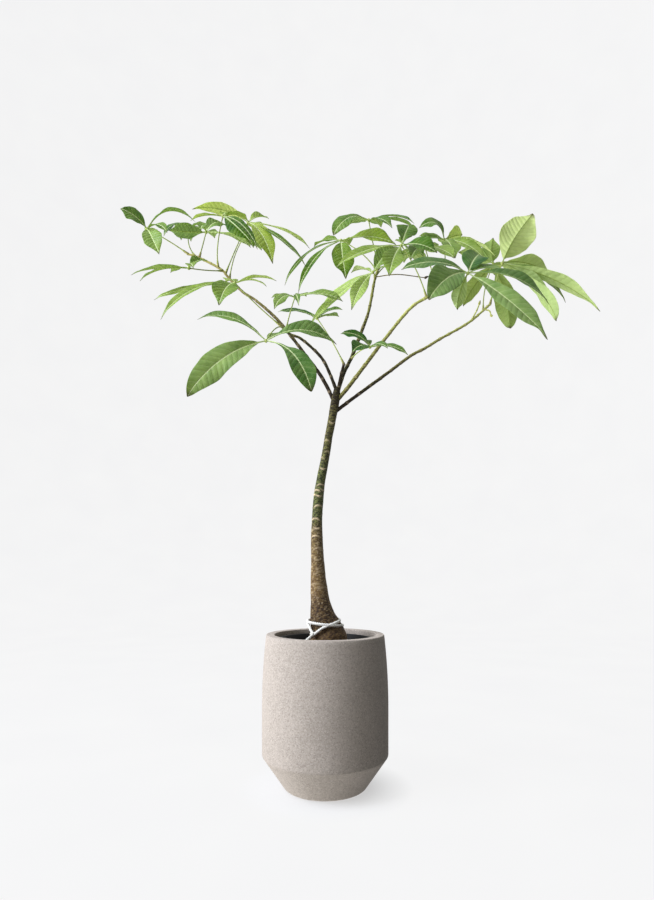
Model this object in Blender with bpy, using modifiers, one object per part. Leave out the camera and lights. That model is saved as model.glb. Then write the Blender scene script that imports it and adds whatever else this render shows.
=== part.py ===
"""A money tree in a stone planter, built at its real size in metres, with +Z up.

The origin is the middle of the planter's foot, on the surface that it stands on. The planter holds a
plastic nursery pot filled with soil. The trunk stands in a plain hole in the soil and forks at the top
into five branches and a cut stub. Two young shoots and a bare stalk grow on the branches, and each
palmate leaf sits on a short stub of its branch. Lengths in the tables are in millimetres, because that
is how a grower would measure them.
"""

import math

import bmesh
import bpy
from mathutils import Vector
from mathutils.bvhtree import BVHTree

MM = 0.001
GAP = 0.3  # clearance between touching pieces

# Planter: turned shape with a bulged wall, a knee near the foot and a flat rim
PLANTER_HEIGHT = 363
RIM_RADIUS = 140
BULGE_RADIUS = 150
BULGE_HEIGHT = 190
RIM_WALL = 20
RIM_EDGE = 2  # the bevel on both edges of the rim
KNEE_HEIGHT = 80
KNEE_ROUNDING = 8
FOOT_RADIUS = 96
FOOT_ROUNDING = 15
FLOOR_THICKNESS = 20
INNER_KNEE_RADIUS = 128
INNER_KNEE_HEIGHT = 85
INNER_FLOOR_RADIUS = 84
PLANTER_SIDES = 40

# Nursery pot: thin plastic, wider at its rolled lip
POT_LIP_TOP = 353
POT_LIP_HEIGHT = 12
POT_LIP_RADIUS = 112.5
POT_TOP_RADIUS = 110
POT_BOTTOM_RADIUS = 74
POT_WALL = 1.8
POT_EDGE = 1  # the bevel on both edges of the lip
POT_SIDES = 40

# Soil: fills the nursery pot a little below its lip and rises towards the trunk
SOIL_EDGE_HEIGHT = 328
SOIL_MIDDLE_HEIGHT = 333
SOIL_FLAT_RADIUS = 60
SOIL_SHOULDER = (90, 332)  # radius and height where the mound begins to fall

# Trunk: centre line (x, y, z) and radius, from the swollen foot to the fork
TRUNK = [
    (8, 0, 285, 43),
    (8, 0, 328, 47),
    (7, 0, 344, 47.5),
    (5, 0, 361, 44),
    (1, -1, 380, 37.5),
    (-5, -2, 401, 32),
    (-12, -3, 440, 23),
    (-16, -4, 491, 18.5),
    (-18, -5, 539, 15.5),
    (-20, -5, 590, 14),
    (-19, -5, 640, 12.5),
    (-16, -4, 686, 12),
    (-10, -3, 730, 10.8),
    (-1, -2, 777, 9.8),
    (7, -1, 825, 9.4),
    (16, 0, 873, 9.6),
    (22, 0, 905, 10.6),
    (26, 0, 930, 9.5),
    (29, 0, 950, 7),
]
STEM_SIDES = 16
HOLE_SIDES = 24
HOLE_REACH = 20  # how far the cutter of the hole goes on above the soil's edge

# Branches: centre line, radius at the fork and radius at the tip
TWIG_SIDES = 6
BRANCHES = {
    "right_lower": {
        "path": [
            (24, 2, 893), (60, 5, 921), (107, 10, 957), (157, 20, 996), (207, 30, 1036),
            (245, 36, 1058), (282, 40, 1082), (345, 50, 1120), (379, 55, 1147), (410, 60, 1176),
        ],
        "radii": (4.3, 2.7),
    },
    "right_upper": {
        "path": [
            (27, -1, 918), (55, -5, 950), (82, -10, 984), (131, -20, 1046), (174, -30, 1098),
            (204, -35, 1129), (236, -40, 1147), (265, -46, 1160), (291, -50, 1175),
        ],
        "radii": (5.0, 3.0),
    },
    "centre": {
        "path": [
            (28, 0, 935), (44, 4, 985), (64, 10, 1027), (89, 20, 1095), (104, 28, 1138),
            (112, 35, 1175), (119, 40, 1215), (127, 45, 1248), (133, 50, 1261),
        ],
        "radii": (4.8, 2.8),
    },
    "left_inner": {
        "path": [
            (28, -2, 940), (8, -7, 988), (-8, -12, 1016), (-34, -20, 1040), (-59, -28, 1057),
            (-82, -34, 1064), (-102, -40, 1080),
        ],
        "radii": (4.2, 2.7),
    },
    "left_outer": {
        "path": [
            (24, 1, 908), (12, 4, 938), (-12, 8, 983), (-53, 14, 1040), (-85, 18, 1083),
            (-122, 22, 1128), (-170, 26, 1171), (-200, 28, 1191), (-237, 32, 1230),
            (-252, 34, 1248), (-282, 36, 1266), (-314, 38, 1282), (-336, 40, 1290),
        ],
        "radii": (4.6, 2.3),
    },
    "young_shoot_left": {
        "path": [(362, 52, 1134), (372, 44, 1152), (378, 40, 1168)],
        "radii": (1.9, 1.4),
    },
    "young_shoot_right": {
        "path": [(396, 58, 1162), (405, 48, 1154), (407, 40, 1139)],
        "radii": (1.9, 1.4),
    },
    "bare_stalk": {
        "path": [(124, 44, 1236), (176, 32, 1236), (242, 20, 1222)],
        "radii": (1.2, 1.0),
    },
    "cut_stub": {
        "path": [(32, -4, 950), (38, -12, 978), (44, -15, 1001)],
        "radii": (4.0, 3.2),
    },
}
BUD_LENGTH = 9
BUD_ROOT = 2  # how far the bud starts back inside the branch
BUD_BELLY = 0.4  # where along the bud it is thickest
BUD_RADII = (2.4, 2.6, 0.7)
BUD_LIFT = 0.6  # how much a bud turns up from its branch
STUB_LENGTH = 11
STUB_RADII = (3.1, 2.5)
STUB_SIDES = 4
PETIOLE_RADII = (2.1, 1.7)
HUB_RADIUS = 4.6
BLADE_THICKNESS = 1.0
BLADE_FOLD = 0.22  # how far the blade's edges rise from the midrib, for each mm of half width
BLADE_WAVE = 0.05  # height of the edge's waves against the blade's width
WAVE_TURN = 2.2 * math.pi  # the angle that the edge's wave runs through along the blade
WAVE_SHIFT = 1.7  # the angle by which one leaflet's wave is ahead of the one before
STALK_HALF_WIDTH = 1.6
STALK_SHARE = 0.07  # the bare stalk of a leaflet, against its length
# A leaflet's rows of points, from its hub to its tip, for blades longer than each length
STATIONS = [
    (155, [0, 0.09, 0.28, 0.5, 0.7, 0.87, 1]),
    (95, [0, 0.09, 0.3, 0.55, 0.8, 1]),
    (0, [0, 0.1, 0.38, 0.74, 1]),
]

# Leaves. seat: the branch and how far along it the leaf grows. bend: the point that pulls the
# petiole's curve. hub: where its leaflets meet. Each leaflet is its tip's offset from the hub
# (x, y, z), its width, its arch against its length, its face: the angle that its upper side
# turns from the sky to the front, and how far along its blade it is widest.
LEAVES = {
    "leaf_left_far": {
        "seat": ("left_outer", 1.0), "bend": (-384, 40, 1324), "hub": (-437, 40, 1352),
        "leaflets": [
            (-56, -30, 32, 46, 0.08, 62, 0.55), (118, 12, 26, 34, 0.26, 22, 0.55),
            (62, -44, -34, 28, 0.15, 45, 0.55), (44, -50, -89, 46, 0.06, 66, 0.5),
            (-8, 80, 26, 32, 0.08, 0, 0.55),
        ],
    },
    "leaf_left_high": {
        "seat": ("left_outer", 0.965), "bend": (-352, 72, 1336), "hub": (-341, 84, 1380),
        "leaflets": [
            (-62, -24, -34, 30, 0.22, 40, 0.55), (-12, -48, -58, 34, 0.14, 30, 0.55),
            (14, -54, -64, 26, 0.06, 40, 0.55), (40, 34, 18, 30, 0.16, 20, 0.55),
            (6, 82, 36, 32, 0.06, 0, 0.55), (-52, 52, 20, 30, 0.1, 0, 0.55),
        ],
    },
    "leaf_left_shoot": {
        "seat": ("left_outer", 0.945), "bend": (-298, 28, 1304), "hub": (-288, 20, 1332),
        "leaflets": [
            (44, 34, 36, 44, 0.2, 58, 0.55), (4, -80, -40, 34, 0.12, 42, 0.55),
            (113, -22, -48, 28, 0.07, 46, 0.55), (6, 80, 32, 30, 0.08, 0, 0.55),
            (-83, -34, -14, 40, 0.0, -30, 0.55),
        ],
    },
    "leaf_left_low": {
        "seat": ("left_outer", 0.82), "bend": (-280, -10, 1223), "hub": (-311, -60, 1204),
        "leaflets": [
            (-128, -20, -24, 28, 0.06, 14, 0.55), (-96, -60, -58, 26, 0.09, 10, 0.55),
            (-54, 42, 12, 26, 0.08, 14, 0.55), (30, 62, 50, 32, 0.08, 60, 0.55),
            (24, -60, -30, 24, 0.12, 42, 0.55),
        ],
    },
    "leaf_crown_left": {
        "seat": ("left_outer", 0.8), "bend": (-216, 50, 1322), "hub": (-192, 60, 1380),
        "leaflets": [
            (-137, -20, 22, 36, 0.14, -14, 0.5), (67, -50, -130, 44, 0.12, 64, 0.55),
            (158, -40, -86, 24, 0.07, 34, 0.55), (50, 34, 30, 36, 0.12, 46, 0.55),
            (150, -84, -152, 26, 0.06, 22, 0.55), (24, 100, 36, 38, 0.05, 0, 0.55),
        ],
    },
    "leaf_crown_front": {
        "seat": ("left_outer", 0.845), "bend": (-262, 5, 1292), "hub": (-240, -20, 1347),
        "leaflets": [
            (71, -42, -84, 42, 0.05, 76, 0.5), (-76, -10, -16, 26, 0.08, 38, 0.55),
            (-2, 78, 46, 28, 0.08, 0, 0.55), (52, 58, 24, 32, 0.1, 20, 0.55),
            (88, -50, -105, 20, 0.1, 46, 0.55),
        ],
    },
    "leaf_mid_left": {
        "seat": ("left_inner", 1.0), "bend": (-152, -60, 1114), "hub": (-203, -80, 1160),
        "leaflets": [
            (-189, 10, -31, 36, 0.045, 44, 0.55), (-151, -70, -111, 26, 0.11, 40, 0.55),
            (-24, -70, -81, 54, 0.12, 76, 0.5), (92, 40, 26, 24, 0.1, 16, 0.55),
            (76, -32, -22, 22, 0.12, 18, 0.55), (-36, 86, 46, 32, 0.06, 0, 0.55),
        ],
    },
    "leaf_inner_high": {
        "seat": ("left_inner", 0.93), "bend": (-82, -48, 1106), "hub": (-69, -60, 1138),
        "leaflets": [
            (-42, -70, -58, 30, 0.12, 52, 0.55), (-58, 40, 18, 24, 0.08, 18, 0.55),
            (111, -20, -18, 38, 0.1, 46, 0.55), (12, -70, -50, 14, 0.12, 50, 0.55),
            (24, 72, 36, 26, 0.06, 0, 0.55),
        ],
    },
    "leaf_inner_back": {
        "seat": ("cut_stub", 1.0), "bend": (16, 6, 1068), "hub": (-20, 34, 1130),
        "leaflets": [
            (-99, 20, 26, 30, 0.08, 42, 0.55), (63, -22, 12, 28, 0.12, 42, 0.55),
            (10, -50, -18, 16, 0.1, 50, 0.55), (-12, 84, 40, 30, 0.06, 0, 0.55),
            (56, 58, 30, 28, 0.06, 0, 0.55),
        ],
    },
    "leaf_front_left": {
        "seat": ("left_inner", 0.965), "bend": (-110, -96, 1062), "hub": (-126, -150, 1003),
        "leaflets": [
            (-154, -70, -140, 60, 0.13, 82, 0.5), (-160, 50, 70, 34, 0.13, 42, 0.55),
            (100, -70, -130, 46, 0.14, 60, 0.64), (154, 20, 1, 48, 0.15, 52, 0.55),
            (40, 80, 50, 30, 0.06, 0, 0.55),
        ],
    },
    "leaf_centre_low": {
        "seat": ("centre", 0.9), "bend": (116, 14, 1240), "hub": (113, -6, 1222),
        "leaflets": [
            (-126, -20, -97, 26, 0.07, 40, 0.55), (-154, -72, -160, 26, 0.05, 34, 0.55),
            (-54, -60, -116, 34, 0.06, 72, 0.55), (-50, 56, 28, 28, 0.1, 15, 0.55),
            (65, 36, 82, 50, 0.06, 70, 0.55), (37, -34, -7, 24, 0.12, 48, 0.55),
        ],
    },
    "leaf_top_left": {
        "seat": ("centre", 0.965), "bend": (92, 62, 1312), "hub": (39, 66, 1338),
        "leaflets": [
            (-141, -44, -134, 22, 0.12, 28, 0.55), (-106, -74, -167, 22, 0.1, 30, 0.55),
            (-70, 46, 10, 44, 0.1, 44, 0.55), (134, -52, -38, 52, 0.08, 54, 0.55),
            (11, -52, -122, 54, 0.05, 76, 0.5), (26, 90, 40, 36, 0.05, 0, 0.55),
        ],
    },
    "leaf_top_centre": {
        "seat": ("centre", 1.0), "bend": (120, 68, 1322), "hub": (107, 44, 1376),
        "leaflets": [
            (-89, -34, -57, 44, 0.2, 54, 0.64), (123, 20, -12, 26, 0.1, 20, 0.55),
            (107, -46, -34, 24, 0.1, 34, 0.55), (52, -60, -54, 28, 0.1, 46, 0.55),
            (-52, 78, 32, 34, 0.06, 0, 0.55), (40, 90, 36, 36, 0.06, 0, 0.55),
        ],
    },
    "leaf_centre_right": {
        "seat": ("right_upper", 0.83), "bend": (212, -44, 1216), "hub": (177, -32, 1271),
        "leaflets": [
            (26, 46, 76, 54, 0.08, 72, 0.62), (-155, -34, -67, 34, 0.08, 48, 0.55),
            (-34, -52, -97, 48, 0.07, 70, 0.55), (76, -44, -40, 46, 0.1, 58, 0.5),
            (30, 66, 62, 36, 0.06, 0, 0.55),
        ],
    },
    "leaf_top_right": {
        "seat": ("right_upper", 0.96), "bend": (296, 44, 1262), "hub": (304, 98, 1358),
        "leaflets": [
            (-68, -14, 22, 42, 0.34, 55, 0.55), (-60, 36, 30, 28, 0.08, 12, 0.55),
            (54, 34, 32, 44, 0.02, -40, 0.6), (124, -40, -67, 36, 0.1, 10, 0.55),
            (90, -62, -88, 42, 0.08, 52, 0.55), (15, -62, -80, 46, 0.1, 52, 0.55),
            (-80, -42, -38, 34, 0.1, 46, 0.55), (16, 92, 42, 38, 0.05, 0, 0.55),
        ],
    },
    "leaf_front_right": {
        "seat": ("right_upper", 1.0), "bend": (302, -98, 1184), "hub": (306, -140, 1152),
        "leaflets": [
            (-147, -12, 3, 44, 0.12, 54, 0.55), (-94, -52, -81, 66, 0.12, 76, 0.55),
            (39, 50, 68, 56, 0.08, 62, 0.55), (180, 6, -62, 44, 0.11, 46, 0.55),
            (143, -84, -175, 52, 0.05, 62, 0.55), (-26, -10, -85, 34, 0.04, -50, 0.55),
            (96, 48, 24, 40, 0.1, 36, 0.55),
        ],
    },
    "leaf_right_far": {
        "seat": ("right_lower", 1.0), "bend": (424, 62, 1232), "hub": (440, 60, 1278),
        "leaflets": [
            (91, 40, 147, 88, 0.04, -76, 0.64), (133, 34, -8, 44, 0.12, -24, 0.55),
            (222, -60, -146, 40, 0.06, -16, 0.55), (172, 22, -88, 40, 0.1, 52, 0.55),
            (115, -62, -172, 44, 0.1, -20, 0.66), (109, -22, -113, 34, 0.1, -30, 0.55),
        ],
    },
    "leaf_right_back": {
        "seat": ("right_lower", 0.95), "bend": (404, 104, 1240), "hub": (440, 134, 1315),
        "leaflets": [
            (3, 14, 76, 50, 0.06, -66, 0.55), (32, -36, -188, 64, 0.06, -84, 0.55),
            (-84, 40, 53, 44, 0.08, -40, 0.55), (34, 108, 26, 42, 0.06, 0, 0.55),
            (104, 68, 0, 42, 0.08, 0, 0.55), (-82, 0, -113, 44, 0.04, -50, 0.55),
        ],
    },
    "leaf_centre_small": {
        "seat": ("centre", 0.27), "bend": (84, -30, 1032), "hub": (102, -60, 1024),
        "leaflets": [
            (-68, 6, 34, 36, 0.14, 48, 0.55), (-44, -60, -34, 38, 0.1, 62, 0.55),
            (85, -30, -29, 24, 0.12, 44, 0.55), (-8, 36, 30, 22, 0.08, 12, 0.55),
            (36, -52, -22, 24, 0.12, 50, 0.55),
        ],
    },
    "leaf_mid_right": {
        "seat": ("right_upper", 0.9), "bend": (258, 16, 1236), "hub": (248, 60, 1318),
        "leaflets": [
            (-64, -40, -46, 38, 0.08, 34, 0.55), (-44, -60, -62, 38, 0.1, 48, 0.55),
            (60, -66, -62, 46, 0.08, 54, 0.55), (40, 50, 14, 36, 0.06, -20, 0.55),
            (40, 86, 36, 40, 0.06, 0, 0.55),
        ],
    },
    "leaf_centre_back": {
        "seat": ("centre", 0.935), "bend": (176, 120, 1326), "hub": (220, 160, 1365),
        "leaflets": [
            (-31, 30, 44, 34, 0.08, 0, 0.55), (52, 40, 44, 36, 0.06, 0, 0.55),
            (76, 10, 6, 36, 0.08, 0, 0.55), (36, -34, -34, 30, 0.1, 30, 0.55),
            (4, 112, 26, 40, 0.05, 0, 0.55), (60, 90, 10, 38, 0.06, 0, 0.55),
        ],
    },
    "leaf_left_back": {
        "seat": ("left_outer", 0.77), "bend": (-236, 100, 1320), "hub": (-214, 130, 1380),
        "leaflets": [
            (-40, 30, 22, 30, 0.08, 0, 0.55), (5, 96, 32, 34, 0.05, 0, 0.55),
            (42, 70, 7, 34, 0.06, 0, 0.55), (30, -20, -36, 28, 0.1, 20, 0.55),
        ],
    },
}

# String: two turns round the swollen foot. theta runs from the front towards +X, in degrees.
STRING_RADIUS = 3.0
STRING_UPPER = {"height": 388, "front_rise": 0.5, "left_rise": 4.5}
STRING_LOWER = [
    (-42, 365), (-10, 381), (20, 388.5), (50, 392.5), (85, 396),
    (180, 401), (270, 394), (300, 378), (318, 366),
]
STRING_TAIL = [
    (-43.9, -97.6, 357.3), (-45.5, -101.2, 356.8), (-47.1, -104.7, 355),
    (-47.5, -105.7, 350), (-47.5, -105.7, 334),
]
KNOT_RADIUS = 4.8
STRING_CLEARANCE = 1.1  # from a facet of the trunk; a ridge between facets comes closer
STRING_STEPS = 22  # straight lengths in each turn
CLOSING_OVERLAP = 0.2  # how far a closed turn runs on past its start
FOOT_CENTRE_X = 3  # the middle of the swollen foot, at the height of the string
FOOT_REACH = 100  # further out than any bark
SLOPE_SHARE = 0.6  # how much the string's lift follows the bark's slope

COLOURS = {
    "stone": ((0.42, 0.38, 0.34, 1), 0.85),
    "plastic": ((0.02, 0.02, 0.02, 1), 0.45),
    "soil": ((0.09, 0.06, 0.04, 1), 0.95),
    "bark": ((0.13, 0.11, 0.06, 1), 0.8),
    "string": ((0.85, 0.85, 0.82, 1), 0.8),
    "leaf": ((0.10, 0.25, 0.05, 1), 0.45),
}


def remove_everything():
    """Clears the scene's objects, so that only the model is left."""
    for item in list(bpy.data.objects):
        bpy.data.objects.remove(item, do_unlink=True)


def collection_named(name):
    """A collection in the scene with this name."""
    found = bpy.data.collections.new(name)
    bpy.context.scene.collection.children.link(found)
    return found


def material_named(name):
    """A Principled material with one of the colours above."""
    made = bpy.data.materials.new(name)
    made.use_nodes = True
    shader = made.node_tree.nodes["Principled BSDF"]
    colour, roughness = COLOURS[name]
    shader.inputs["Base Color"].default_value = colour
    shader.inputs["Roughness"].default_value = roughness
    shader.inputs["Metallic"].default_value = 0.0
    return made


def add_object(name, data, collection):
    """Links a new object that holds this mesh or curve."""
    made = bpy.data.objects.new(name, data)
    collection.objects.link(made)
    return made


def smooth(item, degrees=35):
    """Shades a round piece smooth up to this angle."""
    item.data.shade_smooth()
    item.data.set_sharp_from_angle(angle=math.radians(degrees))


def applied(item, name, collection):
    """The item's evaluated mesh as a new object, with its modifiers applied and its seams welded."""
    bpy.context.view_layer.update()
    evaluated = item.evaluated_get(bpy.context.evaluated_depsgraph_get())
    mesh = bpy.data.meshes.new_from_object(evaluated)
    mesh.name = name
    mesh.materials.clear()
    work = bmesh.new()
    work.from_mesh(mesh)
    bmesh.ops.remove_doubles(work, verts=work.verts, dist=0.000002)
    work.to_mesh(mesh)
    work.free()
    made = add_object(name, mesh, collection)
    made.matrix_world = item.matrix_world.copy()
    return made


def tube(name, points, radii, sides, collection):
    """A closed tube through points in millimetres, with a radius at each, as a mesh."""
    curve = bpy.data.curves.new(name, "CURVE")
    curve.dimensions = "3D"
    curve.bevel_depth = MM
    curve.bevel_resolution = (sides - 4) // 2
    curve.use_fill_caps = True
    spline = curve.splines.new("POLY")
    spline.points.add(len(points) - 1)
    for knot, place, radius in zip(spline.points, points, radii):
        knot.co = (place[0] * MM, place[1] * MM, place[2] * MM, 1)
        knot.radius = radius
    wire = add_object(name + "_wire", curve, collection)
    made = applied(wire, name, collection)
    bpy.data.objects.remove(wire, do_unlink=True)
    return made


def ball(name, place, radius, collection):
    """A small faceted ball with its centre at a point in millimetres."""
    mesh = bpy.data.meshes.new(name)
    work = bmesh.new()
    bmesh.ops.create_icosphere(work, subdivisions=1, radius=radius * MM)
    bmesh.ops.translate(work, verts=work.verts, vec=Vector(place) * MM)
    work.to_mesh(mesh)
    work.free()
    return add_object(name, mesh, collection)


def turned(name, profile, steps, collection):
    """A closed turned body from a profile of (radius, height) in millimetres."""
    mesh = bpy.data.meshes.new(name)
    edges = [(i, i + 1) for i in range(len(profile) - 1)]
    mesh.from_pydata([(radius * MM, 0, height * MM) for radius, height in profile], edges, [])
    made = add_object(name, mesh, collection)
    screw = made.modifiers.new("turn", "SCREW")
    screw.steps = steps
    screw.render_steps = steps
    screw.use_merge_vertices = True
    screw.merge_threshold = 0.00001
    screw.use_smooth_shade = True
    return made


def union(name, pieces, collection):
    """One body from overlapping pieces, which are then removed."""
    group = bpy.data.collections.new(name + "_pieces")
    bpy.context.scene.collection.children.link(group)
    first, rest = pieces[0], pieces[1:]
    for piece in rest:
        for owner in list(piece.users_collection):
            owner.objects.unlink(piece)
        group.objects.link(piece)
    join = first.modifiers.new("join", "BOOLEAN")
    join.operation = "UNION"
    join.operand_type = "COLLECTION"
    join.solver = "EXACT"
    join.collection = group
    made = applied(first, name, collection)
    for piece in pieces:
        bpy.data.objects.remove(piece, do_unlink=True)
    bpy.data.collections.remove(group)
    return made


def arc(centre, radius, start, end, count):
    """Points on an arc, (radius, height) in millimetres, with angles in degrees from +X."""
    angles = [math.radians(start + (end - start) * i / count) for i in range(count + 1)]
    return [(centre[0] + radius * math.cos(a), centre[1] + radius * math.sin(a)) for a in angles]


def wall_radius(height):
    """The planter's outer radius above its knee: full up to the bulge, then drawn in by a parabola."""
    rise = max(0, height - BULGE_HEIGHT) / (PLANTER_HEIGHT - BULGE_HEIGHT)
    return BULGE_RADIUS - (BULGE_RADIUS - RIM_RADIUS) * rise**2


def planter_profile():
    """Inner floor, inner wall, rim, bulged outer wall, knee and rounded foot, outer side downwards."""
    slope = math.degrees(math.atan2(KNEE_HEIGHT, BULGE_RADIUS - FOOT_RADIUS))
    rim = PLANTER_HEIGHT
    heights = [rim - RIM_EDGE, 312, 256, BULGE_HEIGHT]
    inner_top = RIM_RADIUS - RIM_WALL
    profile = [(0, FLOOR_THICKNESS), (INNER_FLOOR_RADIUS, FLOOR_THICKNESS)]
    profile += [(INNER_KNEE_RADIUS, INNER_KNEE_HEIGHT), (INNER_KNEE_RADIUS, BULGE_HEIGHT)]
    profile += [(inner_top, rim - RIM_EDGE), (inner_top + RIM_EDGE, rim), (RIM_RADIUS - RIM_EDGE, rim)]
    profile += [(wall_radius(height), height) for height in heights]
    turn = 90 - slope
    back = KNEE_ROUNDING * math.tan(math.radians(turn / 2))
    knee = (BULGE_RADIUS - KNEE_ROUNDING, KNEE_HEIGHT + back)
    profile += arc(knee, KNEE_ROUNDING, 0, -turn, 2)
    foot_back = FOOT_ROUNDING * math.tan(math.radians(slope / 2))
    foot = (FOOT_RADIUS - foot_back, FOOT_ROUNDING)
    profile += arc(foot, FOOT_ROUNDING, -turn, -90, 3)
    profile.append((0, 0))
    return profile


def pot_profile():
    """Inner floor, inner wall, rolled lip and outer wall of the nursery pot."""
    bottom = FLOOR_THICKNESS + GAP
    lip = POT_LIP_TOP
    under = lip - POT_LIP_HEIGHT
    inner_top = POT_TOP_RADIUS - POT_WALL
    taper = (POT_TOP_RADIUS - POT_BOTTOM_RADIUS) / (lip - bottom)
    return [
        (0, bottom + POT_WALL),
        (POT_BOTTOM_RADIUS - POT_WALL, bottom + POT_WALL),
        (inner_top, lip - POT_EDGE),
        (inner_top + POT_EDGE, lip),
        (POT_LIP_RADIUS - POT_EDGE, lip),
        (POT_LIP_RADIUS, lip - POT_EDGE),
        (POT_LIP_RADIUS, under),
        (POT_TOP_RADIUS - taper * POT_LIP_HEIGHT, under),
        (POT_BOTTOM_RADIUS, bottom),
        (0, bottom),
    ]


def soil_profile():
    """The soil's mounded top and its side, which follows the pot's inner wall with a gap."""
    low = FLOOR_THICKNESS + GAP + POT_WALL
    top = POT_LIP_TOP - POT_EDGE
    low_radius = POT_BOTTOM_RADIUS - POT_WALL
    high_radius = POT_TOP_RADIUS - POT_WALL
    slope = (high_radius - low_radius) / (top - low)
    edge = low_radius + slope * (SOIL_EDGE_HEIGHT - low) - 2 * GAP
    foot = low + GAP
    return [
        (0, SOIL_MIDDLE_HEIGHT),
        (SOIL_FLAT_RADIUS, SOIL_MIDDLE_HEIGHT),
        SOIL_SHOULDER,
        (edge, SOIL_EDGE_HEIGHT),
        (low_radius - 2 * GAP, foot),
        (0, foot),
    ]


def make_soil(collection, cutters):
    """The soil, with a plain hole that the trunk's foot stands in."""
    soil = turned("soil", soil_profile(), POT_SIDES, collection)
    x, y, bottom, foot_radius = TRUNK[0]
    _, _, flare_height, flare_radius = TRUNK[1]
    facet = math.cos(math.pi / HOLE_SIDES)
    low, high = (foot_radius + GAP) / facet, (flare_radius + GAP) / facet
    grow = (high - low) / (flare_height - bottom)
    mesh = bpy.data.meshes.new("trunk_hole")
    work = bmesh.new()
    height = flare_height + HOLE_REACH - bottom + GAP
    bmesh.ops.create_cone(
        work, cap_ends=True, segments=HOLE_SIDES, radius1=low * MM,
        radius2=(high + grow * HOLE_REACH) * MM, depth=height * MM,
    )
    work.to_mesh(mesh)
    work.free()
    cutter = add_object("trunk_hole", mesh, cutters)
    cutter.location = Vector((x, y, bottom - GAP + height / 2)) * MM
    cutter.hide_render = True
    cutter.display_type = "WIRE"
    cut = soil.modifiers.new("hole", "BOOLEAN")
    cut.operation = "DIFFERENCE"
    cut.solver = "EXACT"
    cut.object = cutter
    return soil


def path_lengths(path):
    """How far along the path each of its points lies, from 0 to 1."""
    steps = [0.0]
    for before, after in zip(path, path[1:]):
        steps.append(steps[-1] + (Vector(after) - Vector(before)).length)
    return [step / steps[-1] for step in steps]


def along(path, share):
    """The point at this share of the path's length, and the path's direction there."""
    lengths = path_lengths(path)
    for i in range(len(path) - 1):
        if share <= lengths[i + 1] or i == len(path) - 2:
            part = (share - lengths[i]) / (lengths[i + 1] - lengths[i])
            start, end = Vector(path[i]), Vector(path[i + 1])
            return start.lerp(end, part), (end - start).normalized()
    return Vector(path[-1]), Vector((0, 0, 1))


def leaf_start(leaf):
    """Where the leaf grows on its branch, and the direction in which its petiole leaves."""
    branch, share = leaf["seat"]
    seat, _ = along(BRANCHES[branch]["path"], share)
    return seat, (Vector(leaf["bend"]) - seat).normalized()


def petiole_points(leaf, count=4):
    """A quadratic curve from just beyond the stub to the hub, pulled by the bend point."""
    seat, leave = leaf_start(leaf)
    start = seat + leave * (STUB_LENGTH + GAP)
    bend, hub = Vector(leaf["bend"]), Vector(leaf["hub"])
    points = []
    for i in range(count + 1):
        t = i / count
        points.append(start * (1 - t) ** 2 + bend * 2 * t * (1 - t) + hub * t**2)
    return points


def blade_width(s, widest):
    """Half width of a leaflet against its full width, for s from 0 at the hub to 1 at the tip."""
    if s <= STALK_SHARE:
        return 0.0
    grown = (s - STALK_SHARE) / (1 - STALK_SHARE)
    power = math.log(0.5) / math.log(widest)
    return 0.5 * math.sin(math.pi * grown**power) ** 0.8


def leaflet(name, hub, data, phase, collection):
    """A thin arched blade, folded along its midrib, with waved edges and a pointed tip."""
    dx, dy, dz, width, arch, face, widest = data
    chord = Vector((dx, dy, dz))
    length = chord.length
    ahead = chord / length
    sky = Vector((0, 0, 1))
    lean = math.radians(face)
    turned_up = Vector((0, -math.sin(lean), math.cos(lean)))
    normal = (turned_up - ahead * turned_up.dot(ahead)).normalized()
    up = (sky - ahead * sky.dot(ahead)).normalized()
    rise = (up + normal).normalized()
    stations = next(rows for reach, rows in STATIONS if length > reach)
    rows = len(stations) - 1
    mesh = bpy.data.meshes.new(name)
    work = bmesh.new()
    bmesh.ops.create_grid(work, x_segments=2, y_segments=rows, size=1)
    for vert in work.verts:
        row = round((vert.co.y + 1) / 2 * rows)
        side = round(vert.co.x)
        s = stations[row]
        tangent = (ahead + rise * arch * 4 * (1 - 2 * s)).normalized()
        outward = tangent.cross(normal).normalized()
        above = outward.cross(tangent)
        half = 0 if row == rows else max(blade_width(s, widest) * width, STALK_HALF_WIDTH)
        waved = math.sin(WAVE_TURN * s + phase + side) if half > STALK_HALF_WIDTH else 0
        middle = Vector(hub) + chord * s + rise * arch * length * 4 * s * (1 - s)
        lift = abs(side) * (BLADE_FOLD * half + BLADE_WAVE * width * waved)
        vert.co = (middle + outward * side * half + above * lift) * MM
    bmesh.ops.remove_doubles(work, verts=work.verts, dist=0.00001)
    bmesh.ops.triangulate(work, faces=work.faces, quad_method="FIXED")
    work.normal_update()
    if sum(piece.normal.dot(normal) for piece in work.faces) < 0:
        bmesh.ops.reverse_faces(work, faces=work.faces)
    work.to_mesh(mesh)
    work.free()
    made = add_object(name, mesh, collection)
    shell = made.modifiers.new("thickness", "SOLIDIFY")
    shell.thickness = BLADE_THICKNESS * MM
    shell.offset = 0
    return made


def make_leaf(name, leaf, collection):
    """A palmate leaf: petiole, hub and leaflets joined as one grown body."""
    points = petiole_points(leaf)
    last = len(points) - 1
    thick, thin = PETIOLE_RADII
    radii = [thick + (thin - thick) * i / last for i in range(last + 1)]
    pieces = [tube(name + "_petiole", points, radii, TWIG_SIDES, collection)]
    pieces.append(ball(name + "_hub", leaf["hub"], HUB_RADIUS, collection))
    for i, data in enumerate(leaf["leaflets"]):
        flat = leaflet(f"{name}_leaflet_{i}", leaf["hub"], data, WAVE_SHIFT * i, collection)
        pieces.append(applied(flat, f"{name}_blade_{i}", collection))
        bpy.data.objects.remove(flat, do_unlink=True)
    return union(name, pieces, collection)


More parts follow.
